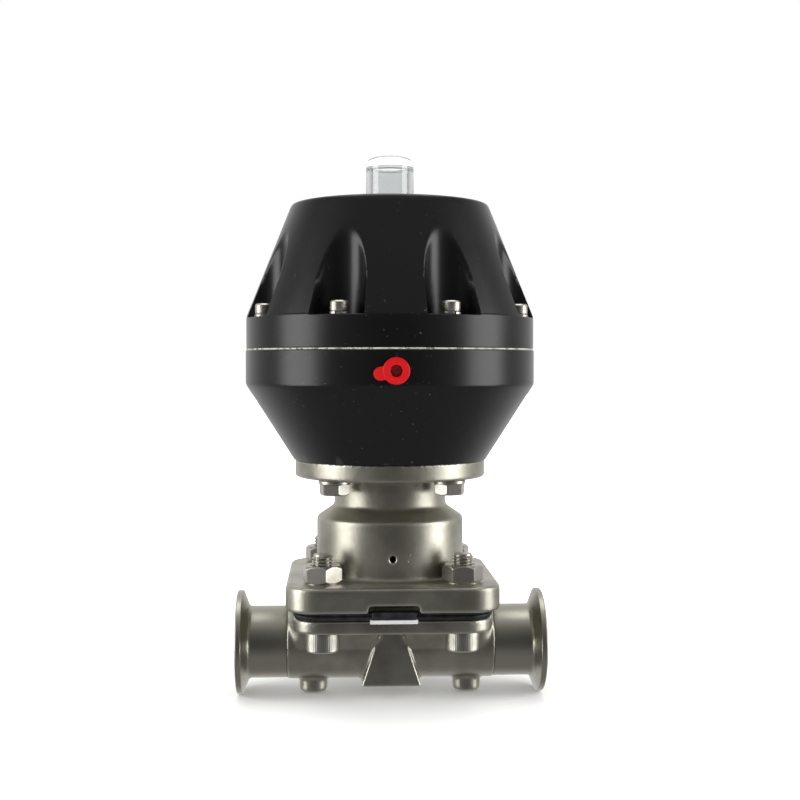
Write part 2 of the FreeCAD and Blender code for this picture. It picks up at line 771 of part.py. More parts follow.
def build_spindle_group(head_bottom, head_top, lip_top):
    gap = s.running_gap
    turned("spindle_bush", ring_profile(s.spindle_radius + gap, lip_top, s.bush_seat_radius, s.bush_top))

    seals = new_body("spindle_seals")
    section = s.seal_section
    middle = s.spindle_radius + s.rod_gap + section
    for height in (s.casing_seat - section - 0.1, s.casing_seat - section * 3 - 0.2):
        revolve(seals, circle(new_sketch(seals, "XZ_Plane"), middle, height, section))

    plate_top = s.spindle_shoulder + s.lower_plate + s.membrane + s.upper_plate
    spindle = turned("spindle", [
        (0, s.spindle_foot), (s.spindle_radius, s.spindle_foot), (s.spindle_radius, s.spindle_shoulder),
        (s.spindle_neck_radius, s.spindle_shoulder), (s.spindle_neck_radius, s.spindle_top),
        (s.rod_radius - 1 + gap, s.spindle_top), (s.rod_radius - 1 + gap, s.spindle_top - s.rod_tail - 0.5),
        (0, s.spindle_top - s.rod_tail - 0.5),
    ])
    cross = circle(new_sketch(spindle, "YZ_Plane"), 0, s.pin_height, s.pin_radius + gap)
    pocket(spindle, cross)

    # compressor: a saddle that fills the dish, a disc and a hub for the spindle
    dish = s.dish_gap + s.face_sheet + s.running_gap + s.backing
    compressor = new_body("compressor")
    saddle = new_sketch(compressor, "XZ_Plane", shift_up=s.seat_axis)
    revolve(compressor, barrel_outline(saddle, dish + s.dish_gap), "H_Axis")
    above = outline(new_sketch(compressor, "XY_Plane", s.compressor_skirt), square(s.body_length))
    pocket(compressor, above, s.body_length, reverse=True)
    hub = new_sketch(compressor, "XZ_Plane")
    outline(hub, [
        (0, s.compressor_skirt - 2), (s.compressor_hub_radius, s.compressor_skirt - 2),
        (s.compressor_hub_radius + 4, s.compressor_skirt),
        (s.compressor_disc_radius, s.compressor_skirt), (s.compressor_disc_radius, s.compressor_disc),
        (s.compressor_hub_radius, s.compressor_disc + 4), (s.compressor_hub_radius, s.compressor_hub),
        (0, s.compressor_hub),
    ])
    revolve(compressor, hub)
    bore = new_sketch(compressor, "XZ_Plane")
    outline(bore, [
        (0, head_bottom - 2), (s.stud_head_radius + s.rod_gap, head_bottom - 2),
        (s.stud_head_radius + s.rod_gap, head_top + 0.1), (s.stud_radius + gap, head_top + 0.1),
        (s.stud_radius + gap, s.spindle_foot - 0.5), (s.spindle_radius + gap, s.spindle_foot - 0.5),
        (s.spindle_radius + gap, s.compressor_hub + 1), (0, s.compressor_hub + 1),
    ])
    groove(compressor, bore)
    cross = circle(new_sketch(compressor, "YZ_Plane"), 0, s.pin_height, s.pin_radius + gap)
    pocket(compressor, cross)

    pin = new_body("compressor_pin")
    rod = circle(new_sketch(pin, "YZ_Plane"), 0, s.pin_height, s.pin_radius)
    pad(pin, rod, (s.compressor_hub_radius - s.rod_gap) * 2, middle=True)

    neck = s.spindle_neck_radius + gap
    membrane_bottom = s.spindle_shoulder + s.lower_plate
    membrane_top = membrane_bottom + s.membrane
    turned("lower_membrane_plate",
           ring_profile(neck, s.spindle_shoulder, s.lower_plate_radius, membrane_bottom))
    turned("upper_membrane_plate", ring_profile(neck, membrane_top, s.upper_plate_radius, plate_top))

    nut, block = hex_pieces("spindle_nut", 0, 0, plate_top, s.piston_nut, s.piston_nut_flat, 0, 1)
    pocket(nut, circle(new_sketch(nut, "XY_Plane", plate_top), 0, 0, neck), s.piston_nut, reverse=True)

    turned("indicator_rod", [
        (0, s.spindle_top - s.rod_tail), (s.rod_radius - 1, s.spindle_top - s.rod_tail),
        (s.rod_radius - 1, s.spindle_top), (s.rod_radius, s.spindle_top), (s.rod_radius, s.rod_top),
        (0, s.rod_top),
    ])
    return membrane_bottom, membrane_top, plate_top


# actuator

def build_lower_casing():
    top = s.seam - s.membrane_edge / 2
    body = turned("lower_casing", [
        (s.spindle_radius + s.rod_gap, s.casing_seat), (s.casing_foot_radius, s.casing_seat),
        (s.band_radius, s.band_bottom), (s.band_radius, top), (s.chamber_radius, top),
        (s.chamber_radius, s.chamber_straight), (s.chamber_floor_radius, s.casing_floor),
        (s.spindle_radius + s.rod_gap, s.casing_floor),
    ])
    soften(body, ring_at(s.band_radius, s.band_bottom), s.casting_round)
    turn = math.radians(s.first_screw.value)
    screw = circle(new_sketch(body, "XY_Plane", top), s.screw_circle * math.cos(turn),
                   s.screw_circle * math.sin(turn), s.screw_radius + s.running_gap)
    around(body, [pocket(body, screw, top - s.screw_tip + 2)], 8)
    corner = s.neck_bolt_circle * TURNED_45
    bolt = circle(new_sketch(body, "XY_Plane", s.casing_seat), corner, corner,
                  s.neck_bolt_radius + s.running_gap)
    around(body, [pocket(body, bolt, s.neck_bolt_bite + 1, reverse=True)], 4)
    port = circle(new_sketch(body, "XZ_Plane"), 0, s.port_height, s.port_radius)
    pocket(body, port, s.band_radius + 1, reverse=True)
    return body


def build_upper_casing():
    bottom = s.seam + s.membrane_edge / 2
    seat = s.crown - s.dome_seat
    body = turned("upper_casing", [
        (s.chamber_radius, bottom), (s.upper_band_radius, bottom),
        (s.upper_band_radius, s.upper_band_top), (s.crown_radius, s.crown_edge),
        (s.crown_radius - s.crown_round, s.crown), (s.dome_radius, s.crown), (s.dome_radius, seat),
        (s.dome_tail_radius, seat), (s.dome_tail_radius, s.spring_roof),
        (s.spring_roof_radius, s.spring_roof), (s.spring_chamber_radius, s.spring_taper_start),
        (s.spring_chamber_radius, s.step_height), (s.chamber_radius, s.step_height),
    ])
    turn = math.radians(s.first_screw.value)
    x = math.cos(turn)
    y = math.sin(turn)
    scallop = circle(new_sketch(body, "XY_Plane", s.scallop_floor), s.scallop_circle * x,
                     s.scallop_circle * y, s.scallop_radius)
    screw = circle(new_sketch(body, "XY_Plane", s.scallop_floor), s.screw_circle * x,
                   s.screw_circle * y, s.screw_radius + s.bolt_gap)
    cut = pocket(body, scallop, s.crown - s.scallop_floor, reverse=True)
    hole = pocket(body, screw, s.scallop_floor - bottom)
    around(body, [cut, hole], 8)
    vent = circle(new_sketch(body, "XZ_Plane"), 0, s.vent_height, s.vent_radius)
    pocket(body, vent, s.band_radius + 1)
    return body


def build_membrane(membrane_bottom, membrane_top):
    """Rolling membrane: flat between the plates, up the chamber wall, clamped in the seam."""
    edge_bottom = s.seam - s.membrane_edge / 2
    edge_top = s.seam + s.membrane_edge / 2
    turned("actuator_membrane", [
        (s.membrane_bore, membrane_bottom), (s.convolution_start, membrane_bottom),
        (s.convolution_end, edge_bottom - 0.5), (s.convolution_end, edge_bottom),
        (s.upper_band_radius - s.rod_gap, edge_bottom), (s.upper_band_radius - s.rod_gap, edge_top),
        (s.convolution_end - 2, edge_top), (s.convolution_start - 1.2, membrane_top),
        (s.membrane_bore, membrane_top),
    ])
    body = pieces[-1]
    turn = math.radians(s.first_screw.value)
    hole = circle(new_sketch(body, "XY_Plane", edge_top), s.screw_circle * math.cos(turn),
                  s.screw_circle * math.sin(turn), s.screw_radius + s.bolt_gap)
    around(body, [pocket(body, hole, s.membrane_edge * 2)], 8)


def build_spring(label, radius, wire, turns, plate_top):
    """A coil of half turns, each a half torus tilted by half a turn's rise, so they join in line."""
    start = plate_top + wire + s.spring_end_gap
    free = s.spring_roof - plate_top - wire * 2 - s.spring_end_gap * 2
    rise = free / (turns * 2)
    ring_radius = math.hypot(radius.value, rise.value / 2)
    tilt = math.degrees(math.asin(rise.value / 2 / ring_radius))
    halves = []
    for i in range(round(turns.value * 2)):
        half = doc.addObject("Part::Torus", f"{label}_half")
        half.setExpression("Radius1", f"sqrt({(radius * radius + rise * rise / 4).text})")
        half.setExpression("Radius2", wire.text)
        half.Angle3 = 180
        turned_round = FreeCAD.Rotation(Vector(0, 0, 1), 180 * (i % 2))
        leaned = FreeCAD.Rotation(Vector(0, 1, 0), tilt if i % 2 == 0 else -tilt)
        half.Placement = FreeCAD.Placement(Vector(0, 0, 0), leaned * turned_round)
        half.setExpression("Placement.Base.z", (start + rise * (i + 0.5)).text)
        halves.append(half)
    coil = doc.addObject("Part::MultiFuse", label)
    coil.Label = label
    coil.Shapes = halves
    doc.recompute()
    pieces.append(coil)
    return coil


def build_dome():
    tail_radius = s.dome_tail_radius - s.running_gap
    turned("sight_dome", [
        (s.dome_bore_radius, s.crown - s.dome_tail), (tail_radius, s.crown - s.dome_tail),
        (tail_radius, s.crown), (s.dome_radius, s.crown),
        (s.dome_radius, s.dome_top), (0, s.dome_top), (0, s.dome_roof), (s.dome_bore_radius, s.dome_roof),
    ])
    soften(pieces[-1], ring_at(s.dome_radius, s.dome_top), s.dome_round)
    seal = new_body("dome_seal")
    ring = new_sketch(seal, "XZ_Plane")
    circle(ring, s.dome_tail_radius + s.dome_seal_section + 0.02, s.crown - s.dome_seat / 2,
           s.dome_seal_section)
    revolve(seal, ring)


def build_plug():
    """Pull-out plug of the air port: disc with a finger tab, stem and a blind hole."""
    plug = new_body("air_port_plug")
    face = s.band_radius + s.plug_lift
    disc = circle(new_sketch(plug, "XZ_Plane", face), 0, s.port_height, s.plug_disc_radius)
    pad(plug, disc, s.plug_disc)
    turn = math.radians(s.plug_tab_angle.value)
    across = (-math.sin(turn), math.cos(turn))
    tip = (s.plug_tab_reach * math.cos(turn), s.port_height + s.plug_tab_reach * math.sin(turn))
    tab = new_sketch(plug, "XZ_Plane", face)
    outline(tab, [
        (s.plug_tab_half * across[0], s.port_height + s.plug_tab_half * across[1]),
        (tip[0] + s.plug_tab_half * across[0], tip[1] + s.plug_tab_half * across[1]),
        (tip[0] - s.plug_tab_half * across[0], tip[1] - s.plug_tab_half * across[1]),
        (-s.plug_tab_half * across[0], s.port_height - s.plug_tab_half * across[1]),
    ])
    pad(plug, tab, s.plug_tab)
    tab_end = circle(new_sketch(plug, "XZ_Plane", face), tip[0], tip[1], s.plug_tab_half)
    pad(plug, tab_end, s.plug_tab)
    stem = circle(new_sketch(plug, "XZ_Plane", face), 0, s.port_height, s.plug_stem_radius)
    pad(plug, stem, s.plug_stem, reverse=True)
    hole = new_sketch(plug, "XZ_Plane", face + s.plug_disc)
    pocket(plug, circle(hole, 0, s.port_height, s.plug_hole_radius), s.plug_hole)


# the whole valve

def build_all():
    build_valve_body()
    build_ferrule_stub("inlet_ferrule", -1)
    build_ferrule_stub("outlet_ferrule", 1)
    head_bottom, head_top = build_diaphragm()
    lip_top = build_bonnet()
    build_fasteners()
    membrane_bottom, membrane_top, plate_top = build_spindle_group(head_bottom, head_top, lip_top)
    build_lower_casing()
    build_upper_casing()
    build_membrane(membrane_bottom, membrane_top)
    build_spring("outer_spring", s.outer_spring_radius, s.outer_spring_wire, s.outer_spring_turns, plate_top)
    build_spring("inner_spring", s.inner_spring_radius, s.inner_spring_wire, s.inner_spring_turns, plate_top)
    build_dome()
    build_plug()


def check_and_write():
    doc.recompute()
    for item in doc.Objects:
        if "Invalid" in item.State or "Error" in item.State:
            raise RuntimeError(f"{item.Name} failed: {item.State}")
    for piece in pieces:
        if piece.Shape.isNull() or not piece.Shape.isValid():
            raise RuntimeError(f"{piece.Label} has no valid shape")
    os.makedirs("parts", exist_ok=True)
    for piece in pieces:
        piece.Shape.exportStep(f"parts/{piece.Label}.step")
        print(piece.Label, len(piece.Shape.Solids), round(piece.Shape.Volume, 1))


build_all()
check_and_write()
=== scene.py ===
import bpy
import bmesh
import math
import numpy as np
from mathutils import Matrix, Vector


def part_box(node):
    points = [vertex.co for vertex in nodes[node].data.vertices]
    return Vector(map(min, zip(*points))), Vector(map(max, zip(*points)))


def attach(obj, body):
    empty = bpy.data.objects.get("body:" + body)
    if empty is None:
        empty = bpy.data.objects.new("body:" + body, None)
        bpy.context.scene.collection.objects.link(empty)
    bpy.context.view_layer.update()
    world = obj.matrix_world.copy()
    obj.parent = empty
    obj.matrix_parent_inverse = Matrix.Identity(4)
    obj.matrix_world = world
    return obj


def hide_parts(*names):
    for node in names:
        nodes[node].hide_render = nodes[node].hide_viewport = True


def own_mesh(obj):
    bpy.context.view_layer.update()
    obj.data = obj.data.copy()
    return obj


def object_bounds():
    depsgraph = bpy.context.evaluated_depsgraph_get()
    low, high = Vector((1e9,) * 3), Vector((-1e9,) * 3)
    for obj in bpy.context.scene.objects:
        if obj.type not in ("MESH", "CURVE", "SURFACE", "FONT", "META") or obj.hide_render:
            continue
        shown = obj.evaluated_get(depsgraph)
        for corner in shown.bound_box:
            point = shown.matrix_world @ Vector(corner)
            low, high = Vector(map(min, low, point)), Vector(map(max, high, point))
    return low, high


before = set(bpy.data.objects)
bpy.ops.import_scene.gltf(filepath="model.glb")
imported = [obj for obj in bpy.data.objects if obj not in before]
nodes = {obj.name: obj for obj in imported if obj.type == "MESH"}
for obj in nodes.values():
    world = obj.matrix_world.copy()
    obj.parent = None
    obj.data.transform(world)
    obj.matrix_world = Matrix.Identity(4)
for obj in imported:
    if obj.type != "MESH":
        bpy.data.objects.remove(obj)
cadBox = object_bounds()
mm = 0.001
fullTurn = 2 * math.pi
print("frame loaded:", len(nodes), "CAD nodes")


# mesh helpers: a part is (points in mm, faces, material index of each face)

def boxMm(node):
    low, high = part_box(node)
    return np.array(low) / mm, np.array(high) / mm


def roundedPath(corners, segments=6, closed=True):
    # corners are (r, z), (r, z, round) or (r, z, round, kind); each round becomes an arc
    path = []
    for i, corner in enumerate(corners):
        here = np.array(corner[:2], float)
        size = corner[2] if len(corner) > 2 else 0
        kind = corner[3] if len(corner) > 3 else 0
        ends = not closed and i in (0, len(corners) - 1)
        if size <= 0 or ends:
            path.append((*here, kind))
            continue
        back = np.array(corners[i - 1][:2], float) - here
        ahead = np.array(corners[(i + 1) % len(corners)][:2], float) - here
        backLength, aheadLength = np.linalg.norm(back), np.linalg.norm(ahead)
        back, ahead = back / backLength, ahead / aheadLength
        half = math.acos(np.clip(back @ ahead, -1, 1)) / 2
        reach = min(size / math.tan(half), 0.49 * backLength, 0.49 * aheadLength)
        radius = reach * math.tan(half)
        middle = back + ahead
        centre = here + middle / np.linalg.norm(middle) * radius / math.sin(half)
        start, end = here + back * reach - centre, here + ahead * reach - centre
        sweep = math.pi - 2 * half
        for k in range(segments + 1):
            t = k / segments
            point = centre + (math.sin((1 - t) * sweep) * start + math.sin(t * sweep) * end) / math.sin(sweep)
            path.append((*point, kind))
    return path


def finePath(path, spacing, closed=True):
    # long stretches cut up, so that a surface can be shaped between their ends
    fine = []
    count = len(path)
    for i in range(count if closed else count - 1):
        a, b = path[i], path[(i + 1) % count]
        pieces = max(1, math.ceil(math.dist(a[:2], b[:2]) / spacing))
        for k in range(pieces):
            t = k / pieces
            kind = a[2] if k == 0 else max(a[2], b[2])
            fine.append((a[0] + (b[0] - a[0]) * t, a[1] + (b[1] - a[1]) * t, kind))
    if not closed:
        fine.append(path[-1])
    return fine


def gridFaces(rows, steps, closed):
    faces = []
    for i in range(rows if closed else rows - 1):
        j = (i + 1) % rows
        for k in range(steps):
            n = (k + 1) % steps
            faces.append((i * steps + k, i * steps + n, j * steps + n, j * steps + k))
    return faces


def turnedPart(path, steps=96, shape=None, closed=True, angles=None, material=0):
    # the outline turned about Z; shape(r, z, angle, kind) can move each point
    outline = np.array([(p[0], p[1], p[2] if len(p) > 2 else 0) for p in path], float)
    if angles is None:
        angles = np.arange(steps) * fullTurn / steps
    steps = len(angles)
    r = np.repeat(outline[:, 0:1], steps, 1)
    z = np.repeat(outline[:, 1:2], steps, 1)
    kind = np.repeat(outline[:, 2:3], steps, 1)
    angle = np.repeat(angles[None, :], len(outline), 0)
    if shape:
        r, z = shape(r, z, angle, kind)
    points = np.stack([r * np.cos(angle), r * np.sin(angle), z], -1).reshape(-1, 3)
    faces = gridFaces(len(outline), steps, closed)
    return points, faces, [material] * len(faces)


def movedPart(part, matrix):
    points = part[0] @ np.array(matrix.to_3x3()).T + np.array(matrix.translation)
    return points, part[1], part[2]


def joinedPart(parts):
    points, faces, materials, offset = [], [], [], 0
    for part in parts:
        points.append(part[0])
        faces += [tuple(i + offset for i in face) for face in part[1]]
        materials += part[2]
        offset += len(part[0])
    return np.concatenate(points), faces, materials


def toMesh(name, part):
    mesh = bpy.data.meshes.new(name)
    mesh.from_pydata((part[0] * mm).tolist(), [], part[1])
    mesh.polygons.foreach_set("material_index", part[2])
    work = bmesh.new()
    work.from_mesh(mesh)
    bmesh.ops.remove_doubles(work, verts=work.verts, dist=1e-7)
    bmesh.ops.dissolve_degenerate(work, edges=work.edges, dist=1e-7)
    bmesh.ops.recalc_face_normals(work, faces=work.faces)
    work.to_mesh(mesh)
    work.free()
    return mesh


def newPiece(name, mesh, materials, body, replaced=(), sharp=35):
    piece = bpy.data.objects.new(name, mesh)
    bpy.context.scene.collection.objects.link(piece)
    mesh.materials.clear()
    for material in materials:
        mesh.materials.append(material)
    mesh.shade_smooth()
    mesh.set_sharp_from_angle(angle=math.radians(sharp))
    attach(piece, body)
    if replaced:
        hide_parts(*replaced)
    return piece


def appliedMesh(piece):
    # the mesh with the object's modifiers in it
    bpy.context.view_layer.update()
    graph = bpy.context.evaluated_depsgraph_get()
    mesh = bpy.data.meshes.new_from_object(piece.evaluated_get(graph))
    mesh.name = piece.name
    return mesh


def scratchObject(mesh):
    thing = bpy.data.objects.new("scratch", mesh)
    bpy.context.scene.collection.objects.link(thing)
    return thing


def dropScratch(*things):
    for thing in things:
        bpy.data.objects.remove(thing)


def remeshed(mesh, voxelMm, smoothing):
    # a casting's or moulding's look: every edge and root gets its small round
    thing = scratchObject(mesh)
    skin = thing.modifiers.new("skin", "REMESH")
    skin.mode = "VOXEL"
    skin.voxel_size = voxelMm * mm
    soft = thing.modifiers.new("soft", "SMOOTH")
    soft.factor = 0.5
    soft.iterations = smoothing
    result = appliedMesh(thing)
    dropScratch(thing)
    return result


def booleanMesh(mesh, cutterPart, operation="DIFFERENCE"):
    thing = scratchObject(mesh)
    cutter = scratchObject(toMesh("cutter", cutterPart))
    cut = thing.modifiers.new("cut", "BOOLEAN")
    cut.operation = operation
    cut.solver = "EXACT"
    cut.object = cutter
    result = appliedMesh(thing)
    dropScratch(thing, cutter)
    return result


def nodeCopy(*names):
    # one mesh of the CAD nodes' shapes, to make a finished piece from
    work = bmesh.new()
    for name in names:
        work.from_mesh(nodes[name].data)
    bmesh.ops.remove_doubles(work, verts=work.verts, dist=1e-6)
    mesh = bpy.data.meshes.new("copy")
    work.to_mesh(mesh)
    work.free()
    return mesh


def cylinderPart(radius, bottom, top, steps=48):
    return turnedPart([(0, bottom), (radius, bottom), (radius, top), (0, top)], steps, closed=False)


def alongY(part, height):
    # a part made about Z, turned to lie along -Y, its origin at the given height
    return movedPart(part, Matrix.Translation((0, 0, height)) @ Matrix.Rotation(math.pi / 2, 4, "X"))


def alongX(part, height, side):
    return movedPart(part, Matrix.Translation((0, 0, height)) @ Matrix.Rotation(side * math.pi / 2, 4, "Y"))


def aroundZ(part, count, first=0.0):
    return joinedPart([movedPart(part, Matrix.Rotation(math.radians(first) + fullTurn * i / count, 4, "Z"))
                       for i in range(count)])


def placed(x, y, z, turnDegrees=0.0):
    return Matrix.Translation((x, y, z)) @ Matrix.Rotation(math.radians(turnDegrees), 4, "Z")


def hexReach(angle, flat):
    # distance from the middle to a hexagon's side, corners at 0, 60 ... degrees
    return flat / 2 / np.cos((angle % (math.pi / 3)) - math.pi / 6)


def smoothMin(a, b, width):
    h = np.clip(0.5 + 0.5 * (b - a) / width, 0, 1)
    return b * (1 - h) + a * h - width * h * (1 - h)


# materials

def linear(hexColour):
    values = []
    for i in (1, 3, 5):
        c = int(hexColour[i:i + 2], 16) / 255
        values.append(c / 12.92 if c <= 0.04045 else ((c + 0.055) / 1.055) ** 2.4)
    return (*values, 1.0)


def perMetre(sizeMm):
    # texture scale for a pattern whose features are this many millimetres
    return 1 / (sizeMm * mm)


def addNode(tree, kind, settings=None, links=None):
    node = tree.nodes.new(kind)
    for name, value in (settings or {}).items():
        if name == "stops":
            for element, (place, colour) in zip(node.color_ramp.elements, value):
                element.position = place
                element.color = linear(colour)
        elif isinstance(name, str) and hasattr(node, name):
            setattr(node, name, value)
        else:
            node.inputs[name].default_value = value
    for name, (source, output) in (links or {}).items():
        tree.links.new(source.outputs[output], node.inputs[name])
    return node


def newMaterial(name, settings):
    material = bpy.data.materials.new(name)
    material.use_nodes = True
    tree = material.node_tree
    tree.nodes.clear()
    shader = addNode(tree, "ShaderNodeBsdfPrincipled", settings)
    addNode(tree, "ShaderNodeOutputMaterial", None, {"Surface": (shader, "BSDF")})
    place = addNode(tree, "ShaderNodeTexCoord")
    return material, tree, shader, place


def addNoise(tree, place, sizeMm, detail, roughness=0.5):
    settings = {"Scale": perMetre(sizeMm), "Detail": detail, "Roughness": roughness}
    return addNode(tree, "ShaderNodeTexNoise", settings,
                   {"Vector": (place, "Object")})


def addRange(tree, source, output, fromRange, toRange):
    return addNode(tree, "ShaderNodeMapRange", {"From Min": fromRange[0], "From Max": fromRange[1],
                                                "To Min": toRange[0], "To Max": toRange[1]},
                   {"Value": (source, output)})


def addTone(tree, source, stops):
    return addNode(tree, "ShaderNodeValToRGB", {"stops": stops}, {"Fac": (source, "Fac")})


def addMix(tree, settings, links):
    return addNode(tree, "ShaderNodeMix", {"data_type": "RGBA", **settings}, links)


def addSum(tree, first, second):
    return addNode(tree, "ShaderNodeMath", {"operation": "ADD"}, {0: first, 1: second})


def addBump(tree, shader, source, output, strength, depthMm):
    bump = addNode(tree, "ShaderNodeBump", {"Strength": strength, "Distance": depthMm * mm},
                   {"Height": (source, output)})
    tree.links.new(bump.outputs[0], shader.inputs["Normal"])


def linkLook(tree, shader, colour=None, roughness=None):
    for name, source in (("Base Color", colour), ("Roughness", roughness)):
        if source:
            tree.links.new(source[0].outputs[source[1]], shader.inputs[name])


def castStainless():
    # investment-cast 316L, bead blasted: warm grey and pebbled; sharp convex edges are smoother from rubbing and
    # painted lighter as a painted highlight
    look = {"grainMm": 0.9, "patchMm": 16, "knockMm": 3.2, "pebbleMm": 0.07,
            "dark": "#9e9b8f", "light": "#b8b5a8", "edgeWearAndSheen": "#d2cfc4"}
    material, tree, shader, place = newMaterial("castStainless", {"Metallic": 1.0})
    grain = addNoise(tree, place, look["grainMm"], 5.0, 0.62)
    patches = addNoise(tree, place, look["patchMm"], 4.0)
    tone = addTone(tree, patches, [(0.36, look["dark"]), (0.64, look["light"])])
    edges = addNode(tree, "ShaderNodeNewGeometry")
    # painted highlight: sharp convex edges get a lighter colour; the lower roughness there is rubbed wear
    rubbedEdgeSheen = addRange(tree, edges, "Pointiness", (0.515, 0.56), (0, 1))
    colour = addMix(tree, {7: linear(look["edgeWearAndSheen"])}, {0: (rubbedEdgeSheen, 0), 6: (tone, 0)})
    rough = addRange(tree, grain, "Fac", (0, 1), (0.34, 0.47))
    smoother = addNode(tree, "ShaderNodeMath", {"operation": "MULTIPLY_ADD", 1: -0.1}, {0: (rubbedEdgeSheen, 0), 2: (rough, 0)})
    # a few shallow pits and knocks
    knocks = addNoise(tree, place, look["knockMm"], 3.0, 0.65)
    pits = addRange(tree, knocks, "Fac", (0.68, 0.76), (0, -2.5))
    addBump(tree, shader, addSum(tree, (grain, "Fac"), (pits, 0)), 0, 0.55, look["pebbleMm"])
    linkLook(tree, shader, (colour, 2), (smoother, 0))
    return material


def turnedStainless(name, colour, roughness, grooveMm, axis):
    # lathe-turned metal: bright, with fine rings left by the tool (drawn coarser than the real 0.1 mm)
    material, tree, shader, place = newMaterial(name, {"Metallic": 1.0, "Base Color": linear(colour)})
    rings = addNode(tree, "ShaderNodeTexWave",
                    {"wave_type": "BANDS", "bands_direction": axis, "Scale": perMetre(grooveMm) / fullTurn,
                     "Distortion": 0.4, "Detail": 1.0}, {"Vector": (place, "Object")})
    smears = addNoise(tree, place, 5, 3.0)
    rough = addRange(tree, smears, "Fac", (0, 1), (roughness - 0.06, roughness + 0.1))
    addBump(tree, shader, rings, "Fac", 0.12, 0.02)
    linkLook(tree, shader, None, (rough, 0))
    return material


def coldFormedSteel():
    # A2 fasteners, cold formed and tumbled: bright, with soft dents; painted shade darkens the hollows and edges stay
    # lighter as a painted highlight
    look = {"dentMm": 3.0, "fineMm": 0.5, "dentDepthMm": 0.14, "bright": "#c2bfb6", "hollowShade": "#98958a"}
    material, tree, shader, place = newMaterial("coldFormedSteel", {"Metallic": 1.0})
    dents = addNoise(tree, place, look["dentMm"], 4.0)
    fine = addNoise(tree, place, look["fineMm"], 2.0)
    edges = addNode(tree, "ShaderNodeNewGeometry")
    # painted shade and highlight: hollows get the darker colour, convex edges the lighter one
    hollowShadeToEdgeSheen = addRange(tree, edges, "Pointiness", (0.44, 0.52), (0, 1))
    colour = addMix(tree, {6: linear(look["hollowShade"]), 7: linear(look["bright"])}, {0: (hollowShadeToEdgeSheen, 0)})
    rough = addRange(tree, fine, "Fac", (0, 1), (0.28, 0.46))
    addBump(tree, shader, dents, "Fac", 0.5, look["dentDepthMm"])
    linkLook(tree, shader, (colour, 2), (rough, 0))
    return material


def powderCoat():
    # satin black powder coat on cast aluminium: slight orange peel, dust specks; sharp edges are lightened towards
    # grey, partly thin coat and partly a painted highlight
    look = {"peelMm": 2.2, "speckMm": 1.5, "cloudMm": 22, "peelDepthMm": 0.06,
            "black": "#070708", "thin": "#3a3a38", "speck": "#55544f"}
    material, tree, shader, place = newMaterial("powderCoat", {"Specular IOR Level": 0.42, "IOR": 1.5})
    peel = addNoise(tree, place, look["peelMm"], 2.0)
    specks = addNoise(tree, place, look["speckMm"], 2.0, 0.7)
    rare = addRange(tree, specks, "Fac", (0.72, 0.75), (0, 1))
    edges = addNode(tree, "ShaderNodeNewGeometry")
    # painted highlight in part: sharp convex edges are mixed towards grey, partly for the thinner coat there
    edgeWearAndSheen = addRange(tree, edges, "Pointiness", (0.53, 0.62), (0, 0.35))
    base = addMix(tree, {6: linear(look["black"]), 7: linear(look["thin"])}, {0: (edgeWearAndSheen, 0)})
    colour = addMix(tree, {7: linear(look["speck"])}, {0: (rare, 0), 6: (base, 2)})
    cloud = addNoise(tree, place, look["cloudMm"], 3.0)
    rough = addRange(tree, cloud, "Fac", (0, 1), (0.25, 0.36))
    addBump(tree, shader, peel, "Fac", 0.18, look["peelDepthMm"])
    linkLook(tree, shader, (colour, 2), (rough, 0))
    return material


def mouldedRed():
    # injection-moulded polyethylene: glossy, soft enough to glow a little at thin edges
    material, tree, shader, place = newMaterial("mouldedRed", {
        "Base Color": linear("#a80308"), "Specular IOR Level": 0.2, "Subsurface Weight": 0.06,
        "Subsurface Radius": (1.0, 0.2, 0.1), "Subsurface Scale": 0.0012})
    flow = addNoise(tree, place, 2.5, 2.0)
    rough = addRange(tree, flow, "Fac", (0, 1), (0.24, 0.4))
    addBump(tree, shader, flow, "Fac", 0.15, 0.08)
    linkLook(tree, shader, None, (rough, 0))
    return material


def clearPolycarbonate():
    # clear moulded polycarbonate with faint flow waves
    material, tree, shader, place = newMaterial("clearPolycarbonate", {
        "Base Color": linear("#f6f8f8"), "Roughness": 0.03, "IOR": 1.585, "Transmission Weight": 1.0})
    addBump(tree, shader, addNoise(tree, place, 7, 1.0), "Fac", 0.12, 0.1)
    return material


def skivedPtfe():
    # white PTFE sheet skived from a billet: waxy, with faint knife lines
    material, tree, shader, place = newMaterial("skivedPtfe", {
        "Base Color": linear("#b9b9ba"), "Roughness": 0.5, "IOR": 1.35, "Subsurface Weight": 0.15,
        "Subsurface Radius": (1.0, 1.0, 0.95), "Subsurface Scale": 0.001})
    knife = addNode(tree, "ShaderNodeTexWave", {"Scale": perMetre(0.8) / fullTurn, "Distortion": 1.5, "Detail": 2.0},
                    {"Vector": (place, "Object")})
    addBump(tree, shader, knife, "Fac", 0.2, 0.03)
    return material


def mouldedEpdm():
    # compression-moulded EPDM: near black, matt, with a dusty bloom
    material, tree, shader, place = newMaterial("mouldedEpdm", {"Roughness": 0.52, "IOR": 1.5})
    bloom = addNoise(tree, place, 4, 4.0)
    tone = addTone(tree, bloom, [(0.35, "#0c0c0d"), (0.75, "#26262a")])
    addBump(tree, shader, bloom, "Fac", 0.2, 0.06)
    linkLook(tree, shader, (tone, 0))
    return material


def wovenRubber():
    # cut edge of the fabric-reinforced membrane: grey cloth with black rubber between the threads
    material, tree, shader, place = newMaterial("wovenRubber", {"Roughness": 0.75})
    threads = addNoise(tree, place, 2.2, 5.0, 0.7)
    tone = addTone(tree, threads, [(0.4, "#5b5a54"), (0.5, "#a9a69c")])
    addBump(tree, shader, threads, "Fac", 0.5, 0.1)
    linkLook(tree, shader, (tone, 0))
    return material


